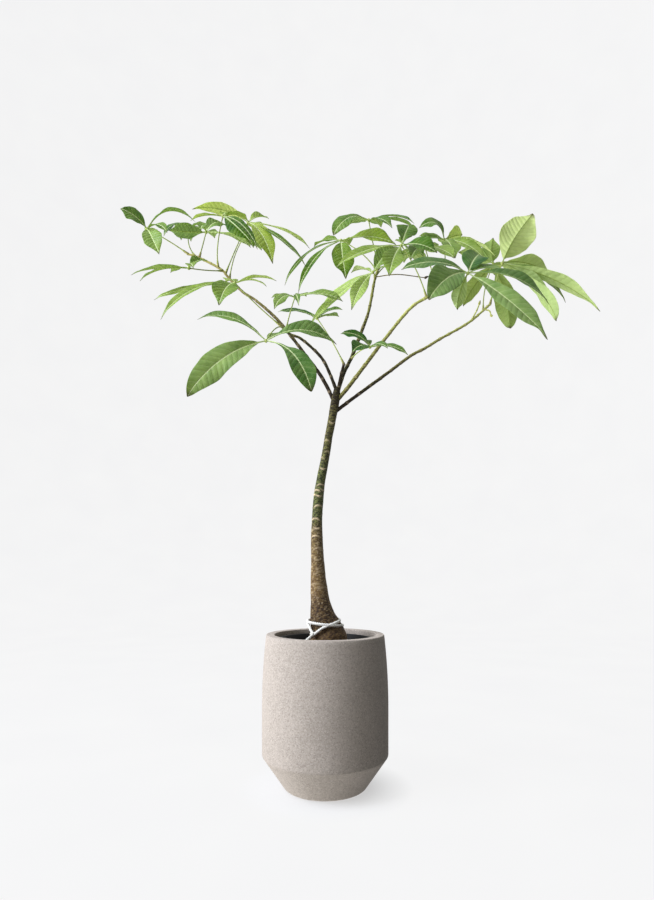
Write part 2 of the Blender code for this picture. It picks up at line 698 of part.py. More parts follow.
def make_trunk(collection):
    """Stem, branches, end buds and leaf stubs, joined as one grown body."""
    path = [row[:3] for row in TRUNK]
    pieces = [tube("stem", path, [row[3] for row in TRUNK], STEM_SIDES, collection)]
    for name, branch in BRANCHES.items():
        points = branch["path"]
        shares = path_lengths(points)
        thick, thin = branch["radii"]
        radii = [thick + (thin - thick) * share for share in shares]
        pieces.append(tube(name, points, radii, TWIG_SIDES, collection))
        if name == "cut_stub":
            continue
        tip, heading = along(points, 1.0)
        rise = (heading + Vector((0, 0, BUD_LIFT))).normalized()
        bud = [tip - rise * BUD_ROOT, tip + rise * BUD_LENGTH * BUD_BELLY, tip + rise * BUD_LENGTH]
        pieces.append(tube(name + "_bud", bud, BUD_RADII, TWIG_SIDES, collection))
    for name, leaf in LEAVES.items():
        seat, leave = leaf_start(leaf)
        ends = [seat, seat + leave * STUB_LENGTH]
        pieces.append(tube(name + "_stub", ends, STUB_RADII, STUB_SIDES, collection))
    return union("trunk", pieces, collection)


def on_trunk(tree, theta, height, lift):
    """A point beside the trunk's foot, found by a ray from outside, and lifted off the bark."""
    angle = math.radians(theta)
    outward = Vector((math.sin(angle), -math.cos(angle), 0))
    centre = Vector((FOOT_CENTRE_X, 0, height))
    hit, normal, _, _ = tree.ray_cast((centre + outward * FOOT_REACH) * MM, -outward)
    level = Vector((normal.x, normal.y, 0)).normalized()
    return hit / MM + level.lerp(normal, SLOPE_SHARE).normalized() * lift


def between(table, theta):
    """The height at theta, eased between the table's rows."""
    for (start, low), (end, high) in zip(table, table[1:]):
        if theta <= end:
            t = max(0, (theta - start) / (end - start))
            return low + (high - low) * t * t * (3 - 2 * t)
    return table[-1][1]


def make_string(trunk, collection):
    """The string's two turns round the foot, their knot and the tail tied over the pot's lip."""
    bpy.context.view_layer.update()
    tree = BVHTree.FromObject(trunk, bpy.context.evaluated_depsgraph_get())
    lift = STRING_RADIUS + STRING_CLEARANCE
    upper = []
    for i in range(STRING_STEPS + 1):
        theta = -180 + 360 * i / STRING_STEPS
        angle = math.radians(theta)
        height = STRING_UPPER["height"] + STRING_UPPER["front_rise"] * math.cos(angle)
        height -= STRING_UPPER["left_rise"] * math.sin(angle)
        upper.append(on_trunk(tree, theta, height, lift))
    upper[-1] = upper[0] + (upper[0] - upper[-2]) * CLOSING_OVERLAP
    first, last = STRING_LOWER[0][0], STRING_LOWER[-1][0]
    lower = []
    for i in range(STRING_STEPS + 1):
        theta = first + (last - first) * i / STRING_STEPS
        lower.append(on_trunk(tree, theta, between(STRING_LOWER, theta), lift))
    knot = on_trunk(tree, first, STRING_LOWER[0][1], KNOT_RADIUS + 2 * GAP)
    tail = [knot, *[Vector(place) for place in STRING_TAIL]]
    pieces = []
    for name, path in (("upper_turn", upper), ("lower_turn", lower), ("tail", tail)):
        pieces.append(tube(name, path, [STRING_RADIUS] * len(path), TWIG_SIDES, collection))
    pieces.append(ball("knot", knot, KNOT_RADIUS, collection))
    return union("tie_string", pieces, collection)


def main():
    """Builds the planter from the outside in, then the plant and its string."""
    remove_everything()
    tree = collection_named("potted_money_tree")
    cutters = collection_named("cutters")
    finishes = {name: material_named(name) for name in COLOURS}
    planter = turned("planter", planter_profile(), PLANTER_SIDES, tree)
    planter.data.materials.append(finishes["stone"])
    pot = turned("nursery_pot", pot_profile(), POT_SIDES, tree)
    pot.data.materials.append(finishes["plastic"])
    soil = make_soil(tree, cutters)
    soil.data.materials.append(finishes["soil"])
    trunk = make_trunk(tree)
    trunk.data.materials.append(finishes["bark"])
    smooth(trunk)
    string = make_string(trunk, tree)
    string.data.materials.append(finishes["string"])
    smooth(string)
    for name, leaf in LEAVES.items():
        made = make_leaf(name, leaf, tree)
        made.data.materials.append(finishes["leaf"])
        smooth(made, 25)


main()
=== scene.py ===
# %% [markdown]
# # A money tree in a cast planter
#
# A young money tree stands in the black pot that it was sold in, inside a warm grey planter. The packed
# solids say where every piece is and how large it is. This lesson dresses them: it works out a finer
# surface for each piece, gives it the finish of the real thing and lights it as in a studio. Lengths in
# the tables are in millimetres, and the meshes are in metres, with +Z up and -Y to the front.

import itertools
import math

import bpy
import numpy as np
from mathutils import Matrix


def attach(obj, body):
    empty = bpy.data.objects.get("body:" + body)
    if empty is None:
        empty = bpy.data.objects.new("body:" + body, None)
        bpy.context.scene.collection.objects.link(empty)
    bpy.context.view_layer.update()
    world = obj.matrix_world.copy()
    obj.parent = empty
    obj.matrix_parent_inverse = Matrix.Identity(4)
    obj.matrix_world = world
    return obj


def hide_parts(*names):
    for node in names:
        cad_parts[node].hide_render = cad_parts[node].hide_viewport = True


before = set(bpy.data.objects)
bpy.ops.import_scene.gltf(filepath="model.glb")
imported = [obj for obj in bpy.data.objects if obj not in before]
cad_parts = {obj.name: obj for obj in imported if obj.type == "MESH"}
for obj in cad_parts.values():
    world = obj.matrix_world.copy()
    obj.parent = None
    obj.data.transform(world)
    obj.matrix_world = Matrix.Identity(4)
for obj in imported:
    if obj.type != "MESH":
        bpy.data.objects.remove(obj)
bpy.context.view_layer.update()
MM = 0.001

# %% [markdown]
# ## The camera
#
# The camera could be placed by eye. Here the planter's rim, knee and foot show as three ellipses, and
# their flatness gives its height and distance: level, 0.52 m up and 1.39 m in front of the trunk. Its
# picture is shifted upwards, as an architect's camera shows a tall thing without leaning lines.

# %% The camera
PICTURE_HIGH = 900  # pixels along the long side of the picture
SHIFT_RIGHT, SHIFT_UP = 1.8, 118  # pixels
CAMERA_AWAY, CAMERA_HIGH = 1390, 520
camera_data = bpy.data.cameras.new("camera")
camera_data.sensor_width = 36
camera_data.lens = 23.32
camera_data.shift_x = SHIFT_RIGHT / PICTURE_HIGH
camera_data.shift_y = SHIFT_UP / PICTURE_HIGH
camera = bpy.data.objects.new("camera", camera_data)
camera.location = (0, -CAMERA_AWAY * MM, CAMERA_HIGH * MM)
camera.rotation_euler = (math.radians(90), 0, 0)
bpy.context.scene.collection.objects.link(camera)
bpy.context.scene.camera = camera
print("camera", tuple(round(v, 3) for v in camera.location))

# %% [markdown]
# ## Helpers for finishes
#
# A finish is a small graph of shader nodes. It could be built by hand in the editor. In code, one
# function adds a node with its settings and its links, so that a finish reads from top to bottom.
# Colours are written as they look on a screen and turned to linear light by the screen's own curve.

# %% Colour and node helpers
def paint(code):
    """sRGB hex to linear: c / 12.92 below 0.04045, else ((c + 0.055) / 1.055) to the power 2.4. The
    fourth number is the alpha, 1."""
    screen = np.array([int(code[i:i + 2], 16) for i in (1, 3, 5)]) / 255
    linear = np.where(screen <= 0.04045, screen / 12.92, ((screen + 0.055) / 1.055) ** 2.4)
    return (*linear.tolist(), 1.0)


def node(tree, kind, inputs=None, **settings):
    """Adds one shader node. Each input is a value or the output of a node made before."""
    made = tree.nodes.new("ShaderNode" + kind)
    for key, value in settings.items():
        setattr(made, key, value)
    for key, value in (inputs or {}).items():
        if isinstance(value, bpy.types.NodeSocket):
            tree.links.new(value, made.inputs[key])
        else:
            made.inputs[key].default_value = value
    return made


def new_finish(name):
    """An empty material and its node tree."""
    material = bpy.data.materials.new(name)
    material.use_nodes = True
    material.node_tree.nodes.clear()
    print("finish", name)
    return material, material.node_tree


# %% [markdown]
# ## Helpers for surfaces
#
# Almost everything here is a skin over rings of points: a pot is a profile carried round a circle, a
# stem is a circle carried along a curve, and a leaf blade is a flat loop carried along its midrib. So
# one function joins rings by quads and closes both ends, and another puts such skins into one mesh.

# %% Directions, curves and noise
def unit(vectors):
    """Each vector divided by its own length."""
    return vectors / np.linalg.norm(vectors, axis=-1, keepdims=True)


def ease(values, start, end):
    """0 before start and 1 after end, with 3t² - 2t³ between them."""
    t = np.clip((np.asarray(values, float) - start) / (end - start), 0, 1)
    return t * t * (3 - 2 * t)


def smooth_path(points, step):
    """A curve through the points, at even steps, and how far along each of its points lies.

    Between two points it is the cubic whose slope at each point is half the way from the point before
    to the point after. Further columns, such as a radius, are carried along in the same way.
    """
    known = np.asarray(points, float)
    known = np.vstack([2 * known[0] - known[1], known, 2 * known[-1] - known[-2]])
    t = np.linspace(0, len(points) - 1, 24 * (len(points) - 1) + 1)
    i = np.minimum(t.astype(int), len(points) - 2)
    f = (t - i)[:, None]
    a, b, c, d = (known[i + k] for k in range(4))
    dense = b + 0.5 * f * ((c - a) + f * (2 * a - 5 * b + 4 * c - d + f * (3 * b - a - 3 * c + d)))
    reach = np.concatenate([[0], np.cumsum(np.linalg.norm(np.diff(dense[:, :3], axis=0), axis=1))])
    even = np.linspace(0, reach[-1], max(3, round(reach[-1] / step) + 1))
    return np.stack([np.interp(even, reach, column) for column in dense.T], 1), even


def noise(points, size, seed=0):
    """Smooth noise from 0 to 1: every corner of a cubic lattice has its own fixed value, and a point
    takes the eased blend of the eight corners round it."""
    place = np.asarray(points, float) / size
    corner = np.floor(place)
    f = place - corner
    f = f * f * (3 - 2 * f)
    total = 0
    for offset in itertools.product((0, 1), repeat=3):
        mixed = (corner + offset) @ np.array([127.1, 311.7, 74.7]) + seed * 19.19
        value = np.abs(np.sin(mixed) * 43758.5453) % 1
        total = total + value * np.prod(np.where(offset, f, 1 - f), axis=-1)
    return total


# %% Skins over rings, and pieces made of skins
def skin(rings, finish=0, **fields):
    """A closed skin over rings of points, whose rows run along the piece and columns round it.

    Point c of ring r meets point c + 1 and the same two points of ring r + 1 in a quad. Each end is
    closed by a fan to the middle of its ring. fields hold three numbers for every point.
    """
    rows, columns = rings.shape[:2]
    r, c = np.meshgrid(np.arange(rows - 1), np.arange(columns), indexing="ij")
    n = (c + 1) % columns
    here, beyond = r * columns, (r + 1) * columns
    quads = np.stack([here + c, here + n, beyond + n, beyond + c], -1)
    ring = np.arange(columns)
    ahead = (ring + 1) % columns
    first, last = np.full(columns, rows * columns), np.full(columns, rows * columns + 1)
    base = (rows - 1) * columns
    fans = np.vstack([np.stack([first, ahead, ring], 1),
                      np.stack([last, base + ring, base + ahead], 1)])
    kept = {}
    for name, values in {"place": rings, **fields}.items():
        values = np.broadcast_to(values, rings.shape)
        kept[name] = np.vstack([values.reshape(-1, 3), values[0].mean(0), values[-1].mean(0)])
    return {"points": kept.pop("place"), "quads": quads.reshape(-1, 4), "fans": fans,
            "fields": kept, "finish": finish}


def tube_rings(path, radii, sides, reference):
    """Rings round a path. The first direction of a ring is the reference made square to the path, the
    second is the path's direction crossed with the first, and a point is the centre plus the radius
    times (cos θ first + sin θ second)."""
    ahead = unit(np.gradient(path, axis=0))
    reference = np.asarray(reference, float)
    first = unit(reference - ahead * (ahead @ reference)[:, None])
    second = np.cross(ahead, first)
    theta = np.arange(sides) * 2 * np.pi / sides
    around = first[:, None] * np.cos(theta)[:, None] + second[:, None] * np.sin(theta)[:, None]
    radii = np.broadcast_to(np.reshape(radii, (len(path), -1)), (len(path), sides))
    return path[:, None] + around * radii[..., None]


def make_piece(name, skins, finishes, solid):
    """One mesh object from several skins. It stands for a solid of the frame and rides on it."""
    firsts = np.cumsum([0] + [len(part["points"]) for part in skins])
    faces, kinds = [], []
    for part, first in zip(skins, firsts):
        for corners in (part["quads"], part["fans"]):
            faces += (corners + first).tolist()
            kinds += [part["finish"]] * len(corners)
    mesh = bpy.data.meshes.new(name)
    mesh.from_pydata((np.concatenate([part["points"] for part in skins]) * MM).tolist(), [], faces)
    for field in skins[0]["fields"]:
        values = np.concatenate([part["fields"][field] for part in skins])
        mesh.attributes.new(field, "FLOAT_VECTOR", "POINT").data.foreach_set("vector", values.ravel())
    mesh.polygons.foreach_set("material_index", kinds)
    mesh.polygons.foreach_set("use_smooth", [True] * len(faces))
    for finish in finishes:
        mesh.materials.append(finish)
    piece = bpy.data.objects.new(name, mesh)
    bpy.context.scene.collection.objects.link(piece)
    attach(piece, "root")
    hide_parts(solid)
    triangles = sum(len(part["fans"]) + 2 * len(part["quads"]) for part in skins)
    print(f"{name}: {triangles} triangles")


# %% [markdown]
# ## Planter finish: fibre cement
#
# Fibre cement is cast against a mould and lightly sanded. That leaves it quite matt, with grains of
# sand one to three millimetres across, lighter and darker than the cement, and faint clouds where the
# mix dried unevenly. It could be a picture of concrete. Cell noise at the real size of the sand, under
# slow cloudy noise, gives the same and has no seams. Blender's sizes are in metres, so a pattern that
# repeats every n millimetres has a scale of 1000 / n.

# %% Fibre cement, cast and sanded
fibre_cement, tree = new_finish("fibre_cement_cast_sanded")
place = node(tree, "TexCoord").outputs["Object"]
clouds = node(tree, "TexNoise", {"Vector": place, "Scale": 1000 / 70, "Detail": 3.0})
base = node(tree, "Mix", {0: clouds.outputs["Fac"], 6: paint("#A89E93"), 7: paint("#BAAFA4")},
            data_type="RGBA")
sand = node(tree, "TexVoronoi", {"Vector": place, "Scale": 1000 / 2.2})
grain = node(tree, "SeparateColor", {"Color": sand.outputs["Color"]})
dark = node(tree, "MapRange",
            {"Value": grain.outputs["Red"], "From Min": 0.5, "From Max": 1.0, "To Max": 0.4})
light = node(tree, "MapRange",
             {"Value": grain.outputs["Green"], "From Min": 0.6, "From Max": 1.0, "To Max": 0.5})
darker = node(tree, "Mix", {0: dark.outputs["Result"], 6: base.outputs[2], 7: paint("#756C66")},
              data_type="RGBA")
specked = node(tree, "Mix", {0: light.outputs["Result"], 6: darker.outputs[2], 7: paint("#D3C9BF")},
               data_type="RGBA")
tooth = node(tree, "TexNoise", {"Vector": place, "Scale": 1000 / 1.6, "Detail": 2.0})
relief = node(tree, "Bump", {"Height": tooth.outputs["Fac"], "Strength": 0.35, "Distance": 0.4 * MM})
shader = node(tree, "BsdfPrincipled", {"Base Color": specked.outputs[2], "Roughness": 0.88,
                                       "Specular IOR Level": 0.3, "Normal": relief.outputs["Normal"]})
node(tree, "OutputMaterial", {"Surface": shader.outputs["BSDF"]})

# %% [markdown]
# ## The planter
#
# The planter is thick, full at its middle, drawn in to a flat rim, and cut in below a knee to a small
# foot. A lathe makes such a form from half its outline, and so does this: the outline's points are
# (radius, height), and each is carried round the axis.

# %% The planter's outline and surface
RIM_HIGH, RIM_RADIUS, RIM_WIDE, RIM_ROUND = 363, 140, 20, 2
BULGE_HIGH, BULGE_RADIUS = 190, 150
KNEE_HIGH, KNEE_ROUND, FOOT_RADIUS, FOOT_ROUND = 80, 8, 96, 15
INSIDE_RADIUS, INSIDE_KNEE, FLOOR_RADIUS, FLOOR_THICK = 128, 85, 84, 20
POLE = 2  # radius of the ring where a turned skin ends, closed by a fan


def arc(middle, radius, start, end, count):
    """Points on a circle: middle + radius × (cos, sin) of angles in degrees from start to end."""
    angle = np.radians(np.linspace(start, end, count))
    return np.stack([middle[0] + radius * np.cos(angle), middle[1] + radius * np.sin(angle)], 1)


def turned_rings(outline, sides):
    """Each outline point (radius, height) carried round Z: (radius cos θ, radius sin θ, height)."""
    theta = np.arange(sides) * 2 * np.pi / sides
    radius, height = outline[:, :1], outline[:, 1:]
    return np.stack([radius * np.cos(theta), radius * np.sin(theta), height + 0 * theta], -1)


def refined(outline, step):
    """Extra points on the straight lengths of an outline, so that none is longer than the step."""
    kept = [outline[:1]]
    for start, end in zip(outline, outline[1:]):
        count = max(1, math.ceil(np.linalg.norm(end - start) / step))
        kept.append(start + (end - start) * (np.arange(1, count + 1) / count)[:, None])
    return np.vstack(kept)


slope = math.degrees(math.atan2(KNEE_HIGH, BULGE_RADIUS - FOOT_RADIUS))
lean = math.radians(90 - slope)
foot_middle = (FOOT_RADIUS - FOOT_ROUND * math.tan(math.radians(slope / 2)), FOOT_ROUND)
knee_middle = (BULGE_RADIUS - KNEE_ROUND, KNEE_HIGH + KNEE_ROUND * math.tan(lean / 2))
heights = np.linspace(BULGE_HIGH, RIM_HIGH - RIM_ROUND, 24)
climbed = (heights - BULGE_HIGH) / (RIM_HIGH - BULGE_HIGH)
wall = BULGE_RADIUS - (BULGE_RADIUS - RIM_RADIUS) * climbed**2
outline = np.vstack([
    [(POLE, 0), (40, 0)],
    arc(foot_middle, FOOT_ROUND, -90, slope - 90, 8),
    arc(knee_middle, KNEE_ROUND, slope - 90, 0, 8),
    np.stack([wall, heights], 1),
    arc((RIM_RADIUS - RIM_ROUND, RIM_HIGH - RIM_ROUND), RIM_ROUND, 10, 90, 5),
    arc((RIM_RADIUS - RIM_WIDE + RIM_ROUND, RIM_HIGH - RIM_ROUND), RIM_ROUND, 90, 170, 5),
    [(INSIDE_RADIUS, BULGE_HIGH), (INSIDE_RADIUS, INSIDE_KNEE), (FLOOR_RADIUS, FLOOR_THICK),
     (POLE, FLOOR_THICK)],
])
planter_skin = skin(turned_rings(refined(outline, step=12), sides=144))
make_piece("planter_cast", [planter_skin], [fibre_cement], "planter")

# %% [markdown]
# ## Nursery pot
#
# The plant was sold in a thin black pot of moulded polypropylene. The plastic is satin, with a fine
# grain from the mould and a little dust from the soil. Its wall is under two millimetres thick and
# rolls out into a lip that hides in the planter's shade.

# %% Polypropylene, moulded
polypropylene, tree = new_finish("polypropylene_moulded_black")
place = node(tree, "TexCoord").outputs["Object"]
dust = node(tree, "TexNoise", {"Vector": place, "Scale": 1000 / 18, "Detail": 5.0, "Roughness": 0.7})
dusty = node(tree, "MapRange",
             {"Value": dust.outputs["Fac"], "From Min": 0.5, "From Max": 0.8, "To Max": 0.4})
tint = node(tree, "Mix", {0: dusty.outputs["Result"], 6: paint("#0E0F10"), 7: paint("#352D27")},
            data_type="RGBA")
rough = node(tree, "MapRange", {"Value": dust.outputs["Fac"], "To Min": 0.35, "To Max": 0.65})
mould = node(tree, "TexNoise", {"Vector": place, "Scale": 1000 / 0.9})
relief = node(tree, "Bump", {"Height": mould.outputs["Fac"], "Strength": 0.2, "Distance": 0.1 * MM})
shader = node(tree, "BsdfPrincipled", {"Base Color": tint.outputs[2],
                                       "Roughness": rough.outputs["Result"], "Specular IOR Level": 0.3,
                                       "Normal": relief.outputs["Normal"]})
node(tree, "OutputMaterial", {"Surface": shader.outputs["BSDF"]})

# %% The nursery pot
POT_LOW, POT_FOOT, POT_WALL = 20.3, 74, 1.8
LIP_HIGH, LIP_DEEP, LIP_ROUND = 353, 12, 1.2
LIP_INSIDE, LIP_OUTSIDE = 108.2, 112.5
outline = np.vstack([
    [(POLE, POT_LOW), (POT_FOOT - 2, POT_LOW), (POT_FOOT, POT_LOW + 1.2)],
    [(LIP_INSIDE + 0.5, LIP_HIGH - LIP_DEEP), (LIP_OUTSIDE - 0.4, LIP_HIGH - LIP_DEEP)],
    arc((LIP_OUTSIDE - LIP_ROUND, LIP_HIGH - LIP_ROUND), LIP_ROUND, 0, 90, 5),
    arc((LIP_INSIDE + LIP_ROUND, LIP_HIGH - LIP_ROUND), LIP_ROUND, 90, 180, 5),
    [(POT_FOOT - POT_WALL, POT_LOW + POT_WALL), (POLE, POT_LOW + POT_WALL)],
])
pot_skin = skin(turned_rings(refined(outline, step=14), sides=120))
make_piece("nursery_pot_moulded", [pot_skin], [polypropylene], "nursery_pot")

# %% [markdown]
# ## Potting mix
#
# Potting mix is dark peat with bits of bark and a few white grains of perlite. The surface is a mound
# with a crumbly relief, worked out from noise at three sizes. The loose bits could be scattered by a
# particle system. Here each bit is an eight-sided crystal, squashed and turned at random from one fixed
# seed, and all of them are worked out at once as arrays.

# %% Peat with bark and perlite
potting_mix, tree = new_finish("potting_mix_peat_bark")
place = node(tree, "TexCoord").outputs["Object"]
bits = node(tree, "Attribute", attribute_name="bits")
kind = node(tree, "SeparateXYZ", {"Vector": bits.outputs["Vector"]})
crumbs = node(tree, "TexNoise", {"Vector": place, "Scale": 1000 / 5, "Detail": 6.0, "Roughness": 0.75})
peat = node(tree, "Mix", {0: crumbs.outputs["Fac"], 6: paint("#1C130D"), 7: paint("#5B4331")},
            data_type="RGBA")
barky = node(tree, "Mix", {0: kind.outputs["X"], 6: peat.outputs[2], 7: paint("#7A5A3E")},
             data_type="RGBA")
mixed = node(tree, "Mix", {0: kind.outputs["Y"], 6: barky.outputs[2], 7: paint("#D8D3C6")},
             data_type="RGBA")
relief = node(tree, "Bump", {"Height": crumbs.outputs["Fac"], "Strength": 0.8, "Distance": 1.2 * MM})
shader = node(tree, "BsdfPrincipled", {"Base Color": mixed.outputs[2], "Roughness": 0.95,
                                       "Specular IOR Level": 0.2, "Normal": relief.outputs["Normal"]})
node(tree, "OutputMaterial", {"Surface": shader.outputs["BSDF"]})

# %% The mound and its hole
SOIL_LOW, SOIL_EDGE, SOIL_MIDDLE, SOIL_RADIUS = 22.5, 328, 333, 106.4
MOUND = SOIL_MIDDLE - SOIL_EDGE
HOLE_X, HOLE_RADIUS, HOLE_LOW = 8, 47.6, 284.7
mound = np.linspace(0, 1, 34)[:, None]
outline = np.vstack([
    [(POLE, HOLE_LOW), (43.3, HOLE_LOW), (46, 310)],
    np.hstack([HOLE_RADIUS + (SOIL_RADIUS - HOLE_RADIUS) * mound, SOIL_MIDDLE - MOUND * mound**3]),
    [(90, 180), (71.6, SOIL_LOW), (POLE, SOIL_LOW)],
])[::-1]
rings = turned_rings(outline, sides=150)
inward = 1 - ease(np.linalg.norm(rings[..., :2], axis=-1), 47, 100)
rings[..., 0] += HOLE_X * np.where(outline[:, None, 1] > 200, inward, 0)
on_top = (outline[:, None, 1] > SOIL_EDGE - 1) * ease(np.linalg.norm(rings[..., :2], axis=-1), 108, 104)
crumble = 5 * noise(rings, 17, 1) + 3 * noise(rings, 7, 2) + 2 * noise(rings, 3.5, 3) - 5.5
rings[..., 2] += on_top * crumble
soil_skin = skin(rings, bits=np.zeros(3))
print(f"crumbs {crumble.min():.1f} to {crumble.max():.1f} mm high")

# %% The loose bits
BITS, NEAREST, FURTHEST = 420, 50, 103
chance = np.random.default_rng(11)
angle = chance.uniform(0, 2 * np.pi, BITS)
reach = np.sqrt(chance.uniform(NEAREST**2, FURTHEST**2, BITS))
aside = HOLE_X * (1 - (reach - NEAREST) / (FURTHEST - NEAREST))
middle = np.stack([reach * np.cos(angle) + aside, reach * np.sin(angle)], 1)
corners = np.array([(1, 0, 0), (0, 1, 0), (-1, 0, 0), (0, -1, 0)])
ring_of = np.stack([corners * 0.55 + (0, 0, -0.5), corners * 0.8, corners * 0.5 + (0, 0, 0.6)])
stretch = chance.uniform(1.2, 3.4, (BITS, 1, 1, 3)) * (1.5, 1, 0.6)
turn = chance.uniform(0, 2 * np.pi, BITS)
spin = np.stack([np.cos(turn), -np.sin(turn), np.sin(turn), np.cos(turn)], 1).reshape(BITS, 2, 2)
shapes = ring_of * stretch
shapes[..., :2] = np.einsum("nij,nrcj->nrci", spin, shapes[..., :2])
level = SOIL_MIDDLE - MOUND * ((reach - HOLE_RADIUS) / (SOIL_RADIUS - HOLE_RADIUS)) ** 3 + 0.4
shapes += np.concatenate([middle, level[:, None]], 1)[:, None, None]
white = chance.uniform(0, 1, BITS) > 0.93
bark_bit = np.where(white, 0, chance.uniform(0, 1, BITS))
loose = [skin(shape, bits=np.array([b, w, 0.0])) for shape, b, w in zip(shapes, bark_bit, white)]
make_piece("soil_mix", [soil_skin, *loose], [potting_mix], "soil")

# %% [markdown]
# ## Bark finish
#
# A money tree keeps a thin bark for years. At the foot it is brown, rough and cracked lengthways. Higher
# up it is tan, then still green under a skin that tears across in pale crescents where leaves once sat,
# and the youngest twigs are yellow-green. One finish serves all of it: three numbers on every point of
# the mesh say how scarred, how green and how light the bark is there, and noise breaks them up. On the
# branches the green and the light also hold painted light and shade: their tops are painted lighter.

# %% Living bark
bark, tree = new_finish("bark_living_thin")
place = node(tree, "TexCoord").outputs["Object"]
bark_look = node(tree, "Attribute", attribute_name="bark")
state = node(tree, "SeparateXYZ", {"Vector": bark_look.outputs["Vector"]})
flat = node(tree, "Mapping", {"Vector": place, "Scale": (1, 1, 2.2)})
blotch = node(tree, "TexNoise",
              {"Vector": flat.outputs["Vector"], "Scale": 1000 / 6.5, "Detail": 5.0, "Roughness": 0.65})
shade = node(tree, "Math", {0: blotch.outputs["Fac"], 1: 0.5}, operation="SUBTRACT")
lightness = node(tree, "Math", {0: shade.outputs[0], 1: 1.5, 2: state.outputs["Z"]},
                 operation="MULTIPLY_ADD", use_clamp=True)
greenness = node(tree, "Math", {0: shade.outputs[0], 1: 1.1, 2: state.outputs["Y"]},
                 operation="MULTIPLY_ADD", use_clamp=True)
brown = node(tree, "Mix", {0: lightness.outputs[0], 6: paint("#2A1B10"), 7: paint("#B88E58")},
             data_type="RGBA")
green = node(tree, "Mix", {0: lightness.outputs[0], 6: paint("#232D14"), 7: paint("#C6CE70")},
             data_type="RGBA")
body = node(tree, "Mix", {0: greenness.outputs[0], 6: brown.outputs[2], 7: green.outputs[2]},
            data_type="RGBA")
torn = node(tree, "Mix", {0: state.outputs["X"], 6: body.outputs[2], 7: paint("#E2CBA4")},
            data_type="RGBA")
crack = node(tree, "Mapping", {"Vector": place, "Scale": (1, 1, 0.35)})
cracks = node(tree, "TexNoise", {"Vector": crack.outputs["Vector"], "Scale": 1000 / 3, "Detail": 4.0})
relief = node(tree, "Bump", {"Height": cracks.outputs["Fac"], "Strength": 0.6, "Distance": 0.7 * MM})
shader = node(tree, "BsdfPrincipled", {"Base Color": torn.outputs[2], "Roughness": 0.72,
                                       "Specular IOR Level": 0.25, "Normal": relief.outputs["Normal"]})
node(tree, "OutputMaterial", {"Surface": shader.outputs["BSDF"]})

# %% [markdown]
# ## Stem
#
# The stem swells at its foot like a bottle and leans a little before it forks. Its centre line and
# radius are a table, smoothed into a curve. Real bark is neither round nor even, so the radius is moved
# in and out by noise that is coarse at the foot and fine higher up, and by a row of leaf scars that
# climb the stem in a spiral of 137.5 degrees, the angle by which each new leaf turns from the last.

# %% Where the stem runs
TRUNK = [
    (8, 0, 285, 43),
    (8, 0, 328, 47),
    (7, 0, 344, 47.5),
    (5, 0, 361, 44),
    (1, -1, 380, 37.5),
    (-5, -2, 401, 32),
    (-12, -3, 440, 23),
    (-16, -4, 491, 18.5),
    (-18, -5, 539, 15.5),
    (-20, -5, 590, 14),
    (-19, -5, 640, 12.5),
    (-16, -4, 686, 12),
    (-10, -3, 730, 10.8),
    (-1, -2, 777, 9.8),
    (7, -1, 825, 9.4),
    (16, 0, 873, 9.6),
    (22, 0, 905, 10.6),
    (26, 0, 930, 9.5),
    (29, 0, 950, 7),
]
STEM_SIDES = 72
stem, stem_reach = smooth_path(TRUNK, 2.0)
rings = tube_rings(stem[:, :3], stem[:, 3], STEM_SIDES, (0, -1, 0))
print(f"stem {stem_reach[-1]:.0f} mm long")

# %% Leaf scars and the bark's age
SCAR_STEP, SCAR_TURN, FRONT_HALF = 11.0, math.radians(137.5), 0.9
SEEN = [  # the photo's row of each scar that shows, and its turn from the front
    (424, 0.2), (441, -0.3), (452, 0.4), (470, -0.1), (485, 0.3), (491, -0.5), (497, 0.1), (506, 0.2),
    (519, -0.4), (529, 0.1), (536, -0.2), (548, 0.3), (560, -0.1), (571, 0.5), (583, -0.4), (588, 0.3),
]
HORIZON_ROW = PICTURE_HIGH / 2 + SHIFT_UP
MM_PER_PIXEL = 2.384  # at the stem
height = stem[:, 2][:, None]
theta = np.arange(STEM_SIDES) * 2 * np.pi / STEM_SIDES
front = np.array([(CAMERA_HIGH - (row - HORIZON_ROW) * MM_PER_PIXEL, turn) for row, turn in SEEN])
climb = np.arange(440, 900, SCAR_STEP)
spiral = np.stack([climb, SCAR_TURN * np.arange(len(climb))], 1)
spiral = spiral[np.abs((spiral[:, 1] + np.pi) % (2 * np.pi) - np.pi) > FRONT_HALF]
scar = np.zeros(rings.shape[:2])
for k, (level, turn) in enumerate(np.vstack([front, spiral])):
    across = (theta - turn + np.pi) % (2 * np.pi) - np.pi
    droop = level - 5 * across**2 * (1 if k % 3 else -1)
    width = 0.85 + 0.2 * math.sin(k * 1.9)
    scar = np.maximum(scar, np.exp(-(((height - droop) / 1.7) ** 2) - (across / width) ** 4))
flecks = (ease(noise(rings * (1, 1, 2.2), 3.6, 9), 0.66, 0.8)
          * ease(height, 350, 450) * ease(height, 680, 600))
tearing = np.interp(height, [440, 560, 630, 750, 790, 900], [0.35, 0.5, 1.15, 1.15, 0.6, 0.5])
scarred = np.clip(tearing * scar * (0.3 + noise(rings, 9, 4)) + 0.4 * flecks, 0, 1)
levels = [285, 400, 440, 470, 600, 618, 640, 752, 775, 880, 910, 950]
green = np.interp(height, levels, [0, 0, 0, 0.05, 0.15, 0.35, 0.9, 0.9, 0.62, 0.5, 0.3, 0.35])
light = np.interp(height, levels, [0.33, 0.1, 0.13, 0.3, 0.22, 0.16, 0.09, 0.1, 0.1, 0.16, 0.02, -0.05])
bark_look = np.stack([scarred, green + 0 * theta, light + 0 * theta], -1)
print(f"{len(front) + len(spiral)} scars")

